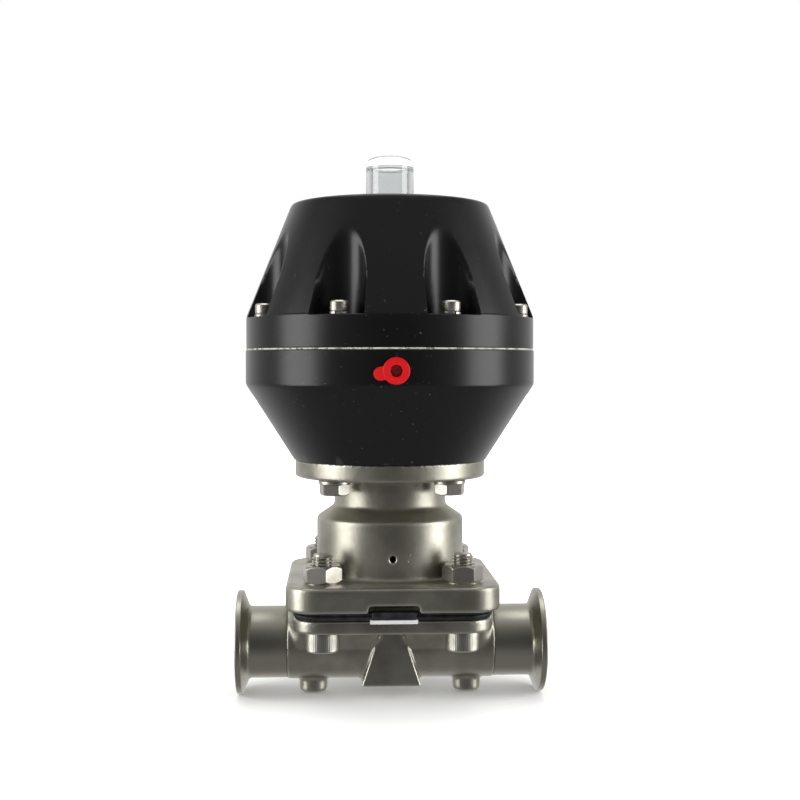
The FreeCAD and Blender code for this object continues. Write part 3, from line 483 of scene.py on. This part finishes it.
def oiledWire():
    # patented spring wire under an oil film: dark steel with drawn streaks
    material, tree, shader, place = newMaterial("oiledWire", {"Metallic": 1.0, "Coat Weight": 0.3,
                                                              "Coat Roughness": 0.15})
    streaks = addNoise(tree, place, 1.2, 4.0)
    tone = addTone(tree, streaks, [(0.3, "#3b3a3b"), (0.7, "#5c5a58")])
    rough = addRange(tree, streaks, "Fac", (0, 1), (0.25, 0.42))
    linkLook(tree, shader, (tone, 0), (rough, 0))
    return material


cast = castStainless()
ferruleSteel = turnedStainless("turnedFerrule", "#d6d4cd", 0.14, 0.5, "X")
tubeSteel = turnedStainless("groundTube", "#aeab9f", 0.34, 0.8, "X")
spindleSteel = turnedStainless("turnedSpindle", "#b7b5b0", 0.22, 0.5, "Z")
bronze = turnedStainless("turnedBronze", "#a9793e", 0.28, 0.5, "Z")
fastener = coldFormedSteel()
coat = powderCoat()
red = mouldedRed()
clear = clearPolycarbonate()
ptfe = skivedPtfe()
epdm = mouldedEpdm()
membraneCloth = wovenRubber()
wire = oiledWire()
print("materials made")


# fasteners

def threadedShape(pitch, depth):
    # kind 2 rows get a helical 60 degree thread
    def shape(r, z, angle, kind):
        phase = (z / pitch - angle / fullTurn) % 1.0
        groove = np.abs(phase - 0.5) * 2
        return np.where(kind == 2, r - depth * np.clip(1.25 * groove - 0.12, 0, 1), r), z
    return shape


def socketScrew(screw):
    # about Z, head from 0 up to its height, shank down; kind 1 rows are the hexagon socket
    flat, deep = screw["socketFlat"], screw["socketDepth"]
    top, radius = screw["head"], screw["headRadius"]
    shank, tip = screw["shankRadius"], -screw["length"]
    pitch = screw["pitch"]
    corners = [
        (0, top - deep - 0.6, 0, 0), (flat / 2 * 0.8, top - deep, 0, 1), (flat / 2, top - deep + 0.1, 0, 1),
        (flat / 2, top - 0.35, 0, 1), (flat / 2 + 0.45, top, 0, 0), (radius - 0.7, top, 0.3, 0),
        (radius, top - 0.7, 0.4, 0), (radius, top - 1.2, 0, 3), (radius, 0.5, 0, 3), (radius - 0.4, 0, 0.2, 0),
        (shank, 0, 0, 0), (shank, tip + screw["thread"], 0, 2), (shank, tip + 1.0, 0, 2),
        (shank - 1.0, tip, 0.2, 0), (0, tip, 0, 0),
    ]
    path = roundedPath(corners, 3, closed=False)
    fine = []
    for a, b in zip(path, path[1:]):
        threaded = a[2] == 2 and b[2] == 2
        fine += finePath([a, b], pitch / 9 if threaded else 3.0, closed=False)[:-1]
    fine.append(path[-1])
    threadShape = threadedShape(pitch, pitch * 0.55)

    def shape(r, z, angle, kind):
        r, z = threadShape(r, z, angle, kind)
        r = np.where(kind == 1, r * hexReach(angle, 2.0), r)
        knurl = np.cos(angle * screw["knurls"]) * screw["knurlDepth"]
        return np.where(kind == 3, r + knurl - screw["knurlDepth"], r), z

    return turnedPart(fine, screw["knurls"] * 4, shape, closed=False)


def hexPart(flat, height, bevelBottom, bevelTop, boreRadius=0.0, ring=0.0):
    # a hexagon with its corners turned off in a cone, bored if boreRadius is given
    corner = flat / math.sqrt(3)
    easy = flat / 2 - 0.25
    wide = corner + 0.02
    corners = [(easy, 0, 0), (wide, bevelBottom, 0), (wide, height - bevelTop, 0), (easy, height, 0.1)]
    if ring:
        corners = [(easy, 0, 0.05), (easy, ring, 0.05), (wide, ring + bevelBottom, 0)] + corners[2:]
    if boreRadius:
        corners += [(boreRadius + 0.9, height, 0.1), (boreRadius, height - 0.9, 0), (boreRadius, 0.6, 0),
                    (boreRadius + 0.6, 0, 0)]
    else:
        corners = [(0, 0, 0)] + corners + [(0, height, 0)]
    path = finePath(roundedPath(corners, 2, closed=bool(boreRadius)), 0.3, closed=bool(boreRadius))

    def shape(r, z, angle, kind):
        return np.where(r > flat / 2 - 0.4, smoothMin(r, hexReach(angle, flat), 0.25), r), z

    return turnedPart(path, 120, shape, closed=bool(boreRadius))


def flatRing(inner, outer, thick, chamfer=0.25):
    path = roundedPath([(inner, 0, 0.1), (outer, 0, chamfer), (outer, thick, chamfer), (inner, thick, 0.1)], 3)
    return turnedPart(path, 64)


def springWasher(inner, outer, thick, gapDegrees=9.0, rise=0.35):
    # split ring, its cut ends sprung a little apart
    path = roundedPath([(inner, 0, 0.1), (outer, 0, 0.15), (outer, thick - 0.1, 0.15), (inner, thick, 0.1)], 2)
    gap = math.radians(gapDegrees)
    angles = np.linspace(gap / 2, fullTurn - gap / 2, 60)
    points, faces, materials = turnedPart(path, angles=angles)
    steps = len(angles)
    rows = len(path)
    faces = [face for i, face in enumerate(faces) if i % steps != steps - 1]
    faces.append(tuple(row * steps for row in range(rows)))
    faces.append(tuple(row * steps + steps - 1 for row in reversed(range(rows))))
    turn = np.tile((angles - math.pi) / math.pi, rows)
    points[:, 2] += turn * rise / 2 * (thick / 3)
    return points, faces, [0] * len(faces)


def addFastener(name, part, node):
    newPiece(name, toMesh(name, part), [fastener], "housing", [node])


def makeFasteners():
    bodyScrew = {"headRadius": 8.0, "head": 10.0, "shankRadius": 5.0, "pitch": 1.5, "thread": 17.0,
                 "socketFlat": 8.0, "socketDepth": 5.0, "knurls": 56, "knurlDepth": 0.05}
    low, high = boxMm("body_screws")
    at = high[0] - bodyScrew["headRadius"]
    bodyScrew["length"] = high[2] - low[2] - bodyScrew["head"]
    screw = movedPart(socketScrew(bodyScrew), Matrix.Translation((at, at, low[2] + bodyScrew["head"])) @
                      Matrix.Rotation(math.pi, 4, "X"))
    addFastener("bodyScrews", aroundZ(screw, 4), "body_screws")

    nut = {"flat": 17.0, "bevelBottom": 1.1, "bevelTop": 1.5, "bore": 5.0, "ring": 0.4,
           "turnsDegrees": (40, 57, 12, 45)}
    low, high = boxMm("flange_nuts")
    hexagon = hexPart(nut["flat"], high[2] - low[2], nut["bevelBottom"], nut["bevelTop"], nut["bore"], nut["ring"])
    nuts = []
    for (x, y), turn in zip(((-at, -at), (at, -at), (at, at), (-at, at)), nut["turnsDegrees"]):
        nuts.append(movedPart(hexagon, placed(x, y, low[2], turn)))
    addFastener("flangeNuts", joinedPart(nuts), "flange_nuts")

    bolt = {"flat": 13.0, "shankRadius": 4.0, "bevelBottom": 0.9, "bevelTop": 0.3, "washerRadius": 7.6,
            "washerBore": 4.3, "turnDegrees": 15}
    low, high = boxMm("neck_bolts")
    washerLow, washerHigh = boxMm("neck_washers")
    spot = washerHigh[0] - bolt["washerRadius"]
    head = hexPart(bolt["flat"], washerLow[2] - low[2], bolt["bevelBottom"], bolt["bevelTop"])
    shank = cylinderPart(bolt["shankRadius"], washerLow[2] - 0.2, high[2])
    bolts = []
    for x, y in ((-spot, -spot), (spot, -spot), (spot, spot), (-spot, spot)):
        turn = -bolt["turnDegrees"] if x * y > 0 else bolt["turnDegrees"]
        bolts.append(movedPart(head, placed(x, y, low[2], turn)))
        bolts.append(movedPart(shank, placed(x, y, 0)))
    addFastener("neckBolts", joinedPart(bolts), "neck_bolts")
    washer = flatRing(bolt["washerBore"], bolt["washerRadius"], washerHigh[2] - washerLow[2])
    washers = [movedPart(washer, placed(x, y, washerLow[2])) for x in (-spot, spot) for y in (-spot, spot)]
    addFastener("neckWashers", joinedPart(washers), "neck_washers")

    coverScrew = {"headRadius": 4.25, "head": 5.0, "shankRadius": 2.5, "pitch": 0.8, "thread": 16.0,
                  "socketFlat": 4.0, "socketDepth": 2.6, "knurls": 40, "knurlDepth": 0.03,
                  "count": 8, "firstDegrees": 22.5, "washerInner": 2.7, "washerOuter": 4.5}
    low, high = boxMm("casing_screws")
    first, count = coverScrew["firstDegrees"], coverScrew["count"]
    circle = (high[0] - coverScrew["headRadius"]) / math.cos(math.radians(first))
    coverScrew["length"] = high[2] - low[2] - coverScrew["head"]
    screw = movedPart(socketScrew(coverScrew), placed(circle, 0, high[2] - coverScrew["head"]))
    addFastener("casingScrews", aroundZ(screw, count, first), "casing_screws")
    low, high = boxMm("casing_screw_washers")
    washer = springWasher(coverScrew["washerInner"], coverScrew["washerOuter"], high[2] - low[2])
    washer = aroundZ(movedPart(washer, placed(circle, 0, low[2])), count, first)
    addFastener("casingScrewWashers", washer, "casing_screw_washers")
    print("fasteners made")


# castings and tube ends

def makeCastings():
    castings = {
        "bodyCasting": {"node": "valve_body", "voxelMm": 0.75, "smoothing": 5},
        "bonnetCasting": {"node": "bonnet", "voxelMm": 0.8, "smoothing": 4},
    }
    for name, casting in castings.items():
        mesh = remeshed(nodeCopy(casting["node"]), casting["voxelMm"], casting["smoothing"])
        newPiece(name, mesh, [cast], "housing", [casting["node"]], sharp=80)
    print("castings made")


def makeFerrules():
    ferrule = {"bore": 16.0, "tube": 17.5, "rim": 2.85, "cone": 3.0, "rootRound": 2.2, "grooveInner": 20.3,
               "grooveOuter": 23.3, "groove": 1.4, "steps": 160}
    bore, tube, steps, bright = ferrule["bore"], ferrule["tube"], ferrule["steps"], 4
    inner, outer = ferrule["grooveInner"], ferrule["grooveOuter"]
    for node, name, side in (("inlet_ferrule", "inletFerrule", -1), ("outlet_ferrule", "outletFerrule", 1)):
        low, high = boxMm(node)
        radius = (high[1] - low[1]) / 2
        near, far = sorted((abs(low[0]), abs(high[0])))
        centre = (low[2] + high[2]) / 2
        rim, groove = far - ferrule["rim"], far - ferrule["groove"]
        corners = [
            (tube, near, 0.15, 0), (tube, rim - ferrule["cone"], ferrule["rootRound"], 0),
            (radius - 0.3, rim, 0.1, 0), (radius, rim + 0.25, 0.15, bright),
            (radius, far - 0.45, 0.2, bright), (radius - 0.45, far, 0.15, bright),
            (outer, far, 0.2, bright), (outer - 0.3, groove, 0.6, bright),
            (inner + 0.3, groove, 0.6, bright), (inner, far, 0.2, bright),
            (bore + 0.3, far, 0.1, bright), (bore, far - 0.3, 0.1, bright), (bore, near, 0, 0),
        ]
        path = finePath(roundedPath(corners, 5), 2.0)
        points, faces, materials = turnedPart(path, steps)
        materials = [1 if path[i // steps][2] == bright else 0 for i in range(len(faces))]
        mesh = toMesh(name, alongX((points, faces, materials), centre, side))
        newPiece(name, mesh, [tubeSteel, ferruleSteel], "housing", [node], sharp=50)
    print("ferrules made")


# diaphragm between the flanges

def squareRim(half, corner, section, cornerSteps=14):
    # a section (outward, z) carried round a square with rounded corners
    points, normals = [], []
    for k in range(4):
        turn = k * math.pi / 2
        for i in range(cornerSteps + 1):
            a = turn + math.pi / 2 * i / cornerSteps
            reach = (half - corner) * math.sqrt(2)
            cx, cy = reach * math.cos(turn + math.pi / 4), reach * math.sin(turn + math.pi / 4)
            points.append((cx + corner * math.cos(a), cy + corner * math.sin(a)))
            normals.append((math.cos(a), math.sin(a)))
    points, normals = np.array(points), np.array(normals)
    rows = []
    for out, z in section:
        ring = points + normals * out
        rows.append(np.column_stack([ring, np.full(len(ring), z)]))
    steps = len(points)
    faces = gridFaces(len(section), steps, True)
    return np.concatenate(rows), faces, [0] * len(faces)


def slabPart(left, front, bottom, right, back, top, edge):
    # a block with rounded edges
    work = bmesh.new()
    middle = ((left + right) / 2, (front + back) / 2, (bottom + top) / 2)
    bmesh.ops.create_cube(work, size=1)
    bmesh.ops.scale(work, vec=(right - left, back - front, top - bottom), verts=work.verts)
    bmesh.ops.translate(work, vec=middle, verts=work.verts)
    bmesh.ops.bevel(work, geom=work.edges[:] + work.verts[:], offset=edge, segments=4, profile=0.5,
                    affect="EDGES")
    points = np.array([v.co for v in work.verts])
    work.verts.index_update()
    faces = [tuple(v.index for v in face.verts) for face in work.faces]
    work.free()
    return points, faces, [0] * len(faces)


def makeDiaphragm():
    layer = {"corner": 13.2, "dishRadius": 30.8, "rimInner": 14.0, "tabHalf": 10.2, "lipHalf": 11.0}
    bodyTop = boxMm("valve_body")[1][2]
    plateBottom = boxMm("bonnet")[0][2]
    backingLow, backingHigh = boxMm("diaphragm_backing")
    faceLow, faceHigh = boxMm("diaphragm_face")
    half, corner, inner = backingHigh[0], layer["corner"], layer["rimInner"]
    tabHalf, lipHalf, front = layer["tabHalf"], layer["lipHalf"], faceLow[1]
    split = faceHigh[2]
    # rubber edge with two moulded beads, squeezed out a little between the flanges
    rubber = [(-inner, split), (-1.9, split), (-1.7, bodyTop + 0.15), (-0.5, bodyTop + 0.1), (0.1, split + 0.1),
              (0.35, split + 0.75), (0.1, split + 1.25), (-0.35, split + 1.45), (0.0, split + 1.7),
              (0.3, split + 2.2), (0.1, split + 2.65), (-0.5, plateBottom), (-inner, plateBottom)]
    tab = slabPart(-tabHalf, front, split + 0.02, tabHalf, 1 - half, backingHigh[2], 0.5)
    mesh = toMesh("diaphragmRim", joinedPart([squareRim(half, corner, rubber), tab]))
    newPiece("diaphragmRim", mesh, [epdm], "housing", ["diaphragm_backing"], sharp=60)
    sheet = [(-inner, bodyTop), (-2.2, bodyTop), (-2.0, bodyTop + 0.2), (-2.0, split - 0.2), (-2.2, split - 0.02),
             (-inner, split - 0.02)]
    lip = slabPart(-lipHalf, front - 0.1, bodyTop - 0.8, lipHalf, -half - 0.4, split, 0.35)
    bridge = slabPart(-lipHalf, -half - 1.0, bodyTop + 0.02, lipHalf, 1.6 - half, split - 0.02, 0.2)
    mesh = toMesh("diaphragmFaceRim", joinedPart([squareRim(half, corner, sheet), lip, bridge]))
    newPiece("diaphragmFaceRim", mesh, [ptfe], "housing", ["diaphragm_face"], sharp=60)
    dish = layer["dishRadius"]
    for node, name, material, slot, lowest in (
            ("diaphragm_backing", "diaphragmDish", epdm, "epdm", backingLow[2]),
            ("diaphragm_face", "diaphragmFaceDish", ptfe, "ptfe", faceLow[2])):
        middle = cylinderPart(dish, lowest - 20, 60, 96)
        mesh = booleanMesh(nodeCopy(node), middle, "INTERSECT")
        piece = newPiece(name, mesh, [material], "housing", sharp=40)
        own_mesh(piece)
    print("diaphragm made")


# actuator casing

def makeUpperCasing():
    low, high = boxMm("upper_casing")
    cover = {
        "bandRadius": 70.3, "bandTop": 183.7, "crownEdge": 236.6, "crownRadius": 48.9, "round": 2.6,
        "scallop": 12.8, "circle": 67.6, "floor": 183.2, "blend": 1.3, "inner": 58.0, "step": 178.0,
        "springRadius": 49.0, "taper": 205.0, "roofRadius": 42.0, "roof": 231.7, "tail": 10.5, "seat": 11.7,
        "seatDepth": 1.2, "rowMm": 0.8, "ventRadius": 2.0, "ventHeight": 174.0,
    }
    bandRadius, spring, step = cover["bandRadius"], cover["springRadius"], cover["step"]
    seat, tail = cover["seat"], cover["tail"]
    bottom, top = low[2], high[2]
    slope = (bandRadius - cover["crownRadius"]) / (cover["crownEdge"] - cover["bandTop"])
    wall, shelf, plain = 1, 2, 0
    # rows: kind 1 is the cone with the scallops, kind 2 the shelf under them
    outer = [(bandRadius - 0.35, bottom, 0.15, plain), (bandRadius, bottom + 0.35, 0.15, plain),
             (bandRadius, cover["bandTop"] - 0.9, 0, plain)]
    rows = roundedPath(outer, 3, closed=False)
    for t in np.linspace(0, 1, 7)[1:]:
        rows.append((bandRadius - 0.25 * t * t, cover["bandTop"] - 0.9 + 0.9 * t, 5 + t))
    for t in np.linspace(0, 1, 10)[1:]:
        rows.append((t, cover["bandTop"], shelf))
    for z in np.arange(cover["bandTop"] + 0.25, cover["crownEdge"], cover["rowMm"]):
        rows.append((bandRadius - slope * (z - cover["bandTop"]), z, wall))
    seatFloor = top - cover["seatDepth"]
    crown = roundedPath([
        (cover["crownRadius"] + 0.4 * slope, cover["crownEdge"] - 0.4),
        (cover["crownRadius"] - 1.0, top, cover["round"]), (seat, top, 0.15), (seat, seatFloor), (tail, seatFloor),
        (tail, cover["roof"]), (cover["roofRadius"], cover["roof"], 2.0), (spring, cover["taper"], 3.0),
        (spring, step, 1.0), (cover["inner"], step, 1.0), (cover["inner"], bottom),
        (bandRadius - 0.35, bottom)], 6, closed=False)
    rows += [(r, z, plain) for r, z, kind in crown[:-1]]

    widest = math.asin(cover["scallop"] / cover["circle"])
    pitch = math.pi / 4
    near = np.linspace(-widest * 1.06, widest * 1.06, 46)
    gap = np.linspace(widest * 1.06, pitch - widest * 1.06, 12)[1:-1]
    oneScallop = np.concatenate([near, gap])
    angles = np.concatenate([oneScallop + pitch * (k + 0.5) for k in range(8)])
    angles = np.sort(angles % fullTurn)

    def scallopReach(angle):
        away = np.abs((angle % pitch) - pitch / 2)
        inside = np.minimum(away, widest)
        side = cover["circle"] * np.sin(inside)
        reach = cover["circle"] * np.cos(inside) - np.sqrt(np.maximum(cover["scallop"] ** 2 - side ** 2, 0))
        return reach + np.maximum(away - widest * 0.985, 0) * 900

    def shape(r, z, angle, kind):
        reach = scallopReach(angle)
        cone = bandRadius - slope * (z - cover["bandTop"])
        walled = smoothMin(cone, reach, cover["blend"])
        foot = smoothMin(np.full_like(r, bandRadius - 0.25), reach, cover["blend"])
        depth = np.clip((bandRadius - foot) / 3.0, 0, 1)
        drop = (cover["bandTop"] - cover["floor"]) * depth
        shelved = bandRadius - 0.25 + (foot - bandRadius + 0.25) * r
        rNew = np.where(kind == wall, walled, np.where(kind == shelf, shelved, r))
        zNew = np.where(kind == shelf, z - drop, np.where(kind >= 5, z - drop * np.clip(kind - 5, 0, 1), z))
        # the wall's foot starts on the shelf and its root is round
        rise = np.clip((z - cover["bandTop"]) / 2.5, 0, 1)
        zNew = np.where(kind == wall, z - drop * (1 - rise), zNew)
        return rNew, zNew

    part = turnedPart(rows, shape=shape, angles=angles)
    mesh = toMesh("upperCasing", part)
    vent = alongY(cylinderPart(cover["ventRadius"], -90, -50, 32), cover["ventHeight"])
    mesh = booleanMesh(mesh, vent)
    newPiece("upperCasing", mesh, [coat], "housing", ["upper_casing"], sharp=50)


def makeLowerCasing():
    low, high = boxMm("lower_casing")
    pan = {"foot": 47.2, "band": 151.2, "floor": 126.4, "chamber": 58.0, "floorRadius": 49.0,
           "straight": 141.0, "bore": 7.2, "port": 4.45, "portHeight": 158.0}
    radius, bottom, top = high[0], low[2], high[2]
    corners = [
        (pan["bore"], bottom), (pan["foot"], bottom, 0.5), (radius, pan["band"], 4.0),
        (radius, top - 0.35, 0.15), (radius - 0.35, top, 0.1), (pan["chamber"], top, 0.3),
        (pan["chamber"], pan["straight"], 3.0),
        (pan["floorRadius"], pan["floor"], 3.0), (pan["bore"], pan["floor"], 0.3),
    ]
    path = finePath(roundedPath(corners, 8), 3.0)
    mesh = toMesh("lowerCasing", turnedPart(path, 320))
    port = alongY(cylinderPart(pan["port"], 50, 90, 48), pan["portHeight"])
    mesh = booleanMesh(mesh, port)
    newPiece("lowerCasing", mesh, [coat], "housing", ["lower_casing"], sharp=50)


def makeActuatorMembrane():
    low, high = boxMm("actuator_membrane")
    cloth = {"edgeInner": 57.0, "edge": 0.8, "plate": 48.0, "bore": 6.1, "thick": 2.0}
    radius, bottom, top, inner = high[0], low[2], high[2], cloth["edgeInner"]
    seam = top - cloth["edge"]

    def ragged(r, z, angle, kind):
        wave = 0.25 * np.sin(angle * 7 + 1) * np.sin(angle * 17) + 0.15 * np.sin(angle * 41 + 2)
        return np.where(kind == 1, r + wave * 0.6, r), z

    edge = roundedPath([(inner, seam), (radius, seam, 0.2, 1), (radius, top, 0.2, 1), (inner, top)], 3)
    mesh = toMesh("membraneEdge", turnedPart(edge, 256, ragged))
    newPiece("membraneEdge", mesh, [membraneCloth], "housing", ["actuator_membrane"])
    roll = roundedPath([
        (cloth["bore"], bottom), (cloth["plate"], bottom, 3), (inner - 0.5, seam, 2),
        (inner - 0.1, seam), (inner - 0.1, top), (inner - 2.5, top, 2),
        (cloth["plate"] - 1.2, bottom + cloth["thick"], 3), (cloth["bore"], bottom + cloth["thick"])], 5)
    rolling = newPiece("rollingMembrane", toMesh("rollingMembrane", turnedPart(roll, 128)), [epdm], "housing")
    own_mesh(rolling)


def coilPart(radius, wireRadius, bottom, top, turns, steps=36, sides=12):
    # compression spring with a closed coil at each end
    total = int(turns * steps)
    dead, tight = 1.0, 0.9
    rings = []
    rise = top - bottom - 2 * wireRadius
    closed = wireRadius * 2.02
    for i in range(total + 1):
        t = i / steps
        if t < dead:
            z = closed * t * tight
        elif t > turns - dead:
            z = rise - closed * (turns - t) * tight
        else:
            u = (t - dead) / (turns - 2 * dead)
            z = closed * tight + (rise - 2 * tight * closed) * u
        a = t * fullTurn
        centre = np.array([radius * math.cos(a), radius * math.sin(a), bottom + wireRadius + z])
        outward = np.array([math.cos(a), math.sin(a), 0.0])
        up = np.array([0.0, 0.0, 1.0])
        for k in range(sides):
            b = fullTurn * k / sides
            rings.append(centre + wireRadius * (math.cos(b) * outward + math.sin(b) * up))
    points = np.array(rings).reshape(-1, 3)
    faces = gridFaces(total + 1, sides, False)
    faces += [tuple(reversed(range(sides))), tuple(total * sides + k for k in range(sides))]
    return points, faces, [0] * len(faces)


def makeSprings():
    for node, name, radius, wireRadius, turns in (("outer_spring", "outerSpring", 36.0, 3.0, 6),
                                                  ("inner_spring", "innerSpring", 23.0, 2.5, 8)):
        low, high = boxMm(node)
        part = coilPart(radius, wireRadius, low[2], high[2], turns)
        spring = newPiece(name, toMesh(name, part), [wire], "housing", [node], sharp=60)
        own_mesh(spring)


def makeDome():
    low, high = boxMm("sight_dome")
    dome = {"bore": 8.5, "wallTop": 256.3, "tail": 10.45}
    radius, bottom, top, bore = high[0], low[2], high[2], dome["bore"]
    crown = boxMm("upper_casing")[1][2]
    corners = [
        (0, dome["wallTop"]), (bore, dome["wallTop"], 1.2), (bore, bottom, 0.2), (dome["tail"], bottom, 0.4),
        (dome["tail"], crown + 0.02, 0.1), (radius, crown + 0.02, 0.3), (radius, top, 4.0), (0, top),
    ]
    path = roundedPath(corners, 10, closed=False)
    mesh = toMesh("sightDome", turnedPart(path, 96, closed=False))
    newPiece("sightDome", mesh, [clear], "housing", ["sight_dome"], sharp=60)


def makePlug():
    low, high = boxMm("air_port_plug")
    plug = {"disc": 6.1, "tabHalf": 3.1, "tabReach": 7.05, "thick": 1.8, "hole": 2.65, "holeDepth": 7.0,
            "stem": 4.35, "cadDisc": 6.5, "leanDegrees": 10}
    hole, stem, tabHalf = plug["hole"], plug["stem"], plug["tabHalf"]
    height = high[2] - plug["cadDisc"]
    face = -high[1] - plug["thick"]
    front = -low[1]
    back = front - plug["thick"]
    floor, tabFront = front - plug["holeDepth"], front - 0.4
    ring = roundedPath([
        (0, floor), (hole, floor, 0.4), (hole, front, 0.5), (hole + 0.8, front + 0.05, 0.5),
        (plug["disc"], front, 0.9), (plug["disc"], back, 0.4), (stem, back, 0.2), (stem - 0.1, -high[1], 0.8),
        (0, -high[1])], 5, closed=False)
    bar = slabPart(-plug["tabReach"], -tabHalf, back, -hole - 0.6, tabHalf, tabFront, 0.45)
    tip = roundedPath([(0, back), (tabHalf, back, 0.45), (tabHalf, tabFront, 0.45), (0, tabFront)], 4,
                      closed=False)
    tip = movedPart(turnedPart(tip, 48, closed=False), placed(-plug["tabReach"], 0, 0))
    tab = movedPart(joinedPart([bar, tip]), placed(0, 0, 0, plug["leanDegrees"]))
    whole = alongY(joinedPart([turnedPart(ring, 72, closed=False), tab]), height)
    mesh = remeshed(toMesh("plug", whole), 0.2, 3)
    newPiece("airPortPlug", mesh, [red], "plug", ["air_port_plug"], sharp=80)


def paintCadNodes():
    # inner pieces keep their CAD shape and get their own finish
    finishes = {
        "spindle_bush": bronze, "spindle_seals": epdm, "spindle": spindleSteel, "compressor": cast,
        "compressor_pin": spindleSteel, "diaphragm_stud": spindleSteel, "lower_membrane_plate": spindleSteel,
        "upper_membrane_plate": spindleSteel, "spindle_nut": fastener, "indicator_rod": spindleSteel,
        "dome_seal": epdm,
    }
    for node, material in finishes.items():
        mesh = nodes[node].data
        mesh.materials.clear()
        mesh.materials.append(material)


makeFasteners()
makeCastings()
makeFerrules()
makeDiaphragm()
makeUpperCasing()
makeLowerCasing()
makeActuatorMembrane()
makeSprings()
makeDome()
makePlug()
paintCadNodes()
print("actuator made")


# floor, light and camera

def makeStage():
    # matt white paper, lit up evenly further out so that it runs into the backdrop without an edge
    stage = {"floorHalf": 6.0, "near": 0.16, "far": 0.5, "fibreMm": 40, "drop": 0.0001}
    material, tree, shader, place = newMaterial("paperFloor", {"Roughness": 0.9, "Specular IOR Level": 0.1,
                                                               "Emission Color": linear("#ffffff")})
    fibre = addNoise(tree, place, stage["fibreMm"], 3.0)
    tone = addTone(tree, fibre, [(0.3, "#f1f1ef"), (0.7, "#f6f6f4")])
    distance = addNode(tree, "ShaderNodeVectorMath", {"operation": "LENGTH"}, {0: (place, "Object")})
    outer = addRange(tree, distance, "Value", (stage["near"], stage["far"]), (0.12, 1))
    outer.interpolation_type = "SMOOTHSTEP"
    tree.links.new(tone.outputs[0], shader.inputs["Base Color"])
    tree.links.new(outer.outputs[0], shader.inputs["Emission Strength"])
    mesh = bpy.data.meshes.new("floor")
    half = stage["floorHalf"]
    level = cadBox[0][2] - stage["drop"]
    corners = [(x * half, y * half, level) for x, y in ((-1, -1), (1, -1), (1, 1), (-1, 1))]
    mesh.from_pydata(corners, [], [(0, 1, 2, 3)])
    mesh.materials.append(material)
    floor = bpy.data.objects.new("floor", mesh)
    bpy.context.scene.collection.objects.link(floor)
    floor.visible_glossy = False


def addSoftbox(name, box, aim):
    data = bpy.data.lights.new(name, "AREA")
    data.shape = "RECTANGLE"
    data.size, data.size_y = box["size"]
    data.energy = box["watts"]
    lamp = bpy.data.objects.new(name, data)
    lamp.location = box["place"]
    lamp.rotation_euler = (Vector(aim) - lamp.location).to_track_quat("-Z", "Y").to_euler()
    lamp.visible_camera = False
    lamp.visible_transmission = False
    bpy.context.scene.collection.objects.link(lamp)


def makeLight():
    middle = (0, 0, 0.13)
    boxes = {
        "leftBox": {"place": (-0.95, -0.25, 0.22), "size": (0.55, 1.0), "watts": 7.6},
        "rightBox": {"place": (0.95, -0.25, 0.22), "size": (0.55, 1.0), "watts": 7.6},
        "topBox": {"place": (0.0, 0.1, 1.1), "size": (0.9, 0.5), "watts": 3.2},
    }
    for name, box in boxes.items():
        addSoftbox(name, box, middle)
    world = bpy.data.worlds.new("studio")
    bpy.context.scene.world = world
    world.use_nodes = True
    tree = world.node_tree
    tree.nodes.clear()
    path = addNode(tree, "ShaderNodeLightPath")
    place = addNode(tree, "ShaderNodeTexCoord")
    split = addNode(tree, "ShaderNodeSeparateXYZ", None, {0: (place, "Generated")})
    # what shiny parts reflect: a dim room in front, lit paper behind, a pale ceiling and floor
    behind = addRange(tree, split, "Y", (0.15, 0.95), (0.17, 0.95))
    front = addRange(tree, split, "Y", (-0.8, -1.0), (0, -0.12))
    above = addRange(tree, split, "Z", (0.7, 0.98), (0, 0.45))
    below = addRange(tree, split, "Z", (-0.1, -0.6), (0, 0.1))
    facing = addSum(tree, (behind, 0), (front, 0))
    ends = addSum(tree, (above, 0), (below, 0))
    room = addSum(tree, (ends, 0), (facing, 0))
    shiny = addNode(tree, "ShaderNodeMath", {"operation": "SUBTRACT", "use_clamp": True},
                    {0: (path, "Is Glossy Ray"), 1: (path, "Is Transmission Ray")})
    mixed = addMix(tree, {6: linear("#ffffff")}, {0: (shiny, 0), 7: (room, 0)})
    # clear plastic bends the backdrop's white and some of the dim room into view
    through = addRange(tree, split, "Y", (0.1, 1.0), (0.12, 0.78))
    seen = addMix(tree, {}, {0: (path, "Is Transmission Ray"), 6: (mixed, 2), 7: (through, 0)})
    backdrop = addNode(tree, "ShaderNodeBackground", {"Strength": 1.0}, {"Color": (seen, 2)})
    addNode(tree, "ShaderNodeOutputWorld", None, {"Surface": (backdrop, "Background")})


def makeCamera():
    view = {"distance": 0.64, "azimuthDegrees": -2.3, "height": 0.1615, "target": (0.005, 0, 0.1432),
            "sensorMm": 36.0, "widthSeen": 0.39487}
    data = bpy.data.cameras.new("camera")
    camera = bpy.data.objects.new("camera", data)
    bpy.context.scene.collection.objects.link(camera)
    turn = math.radians(view["azimuthDegrees"])
    camera.location = (view["distance"] * math.sin(turn), -view["distance"] * math.cos(turn), view["height"])
    camera.rotation_euler = (Vector(view["target"]) - camera.location).to_track_quat("-Z", "Y").to_euler()
    data.sensor_width = view["sensorMm"]
    data.lens = view["sensorMm"] * view["distance"] / view["widthSeen"]
    data.clip_start = 0.05
    bpy.context.scene.camera = camera


makeStage()
makeLight()
makeCamera()
bpy.context.scene.view_settings.view_transform = "Standard"
print("stage, light and camera set")
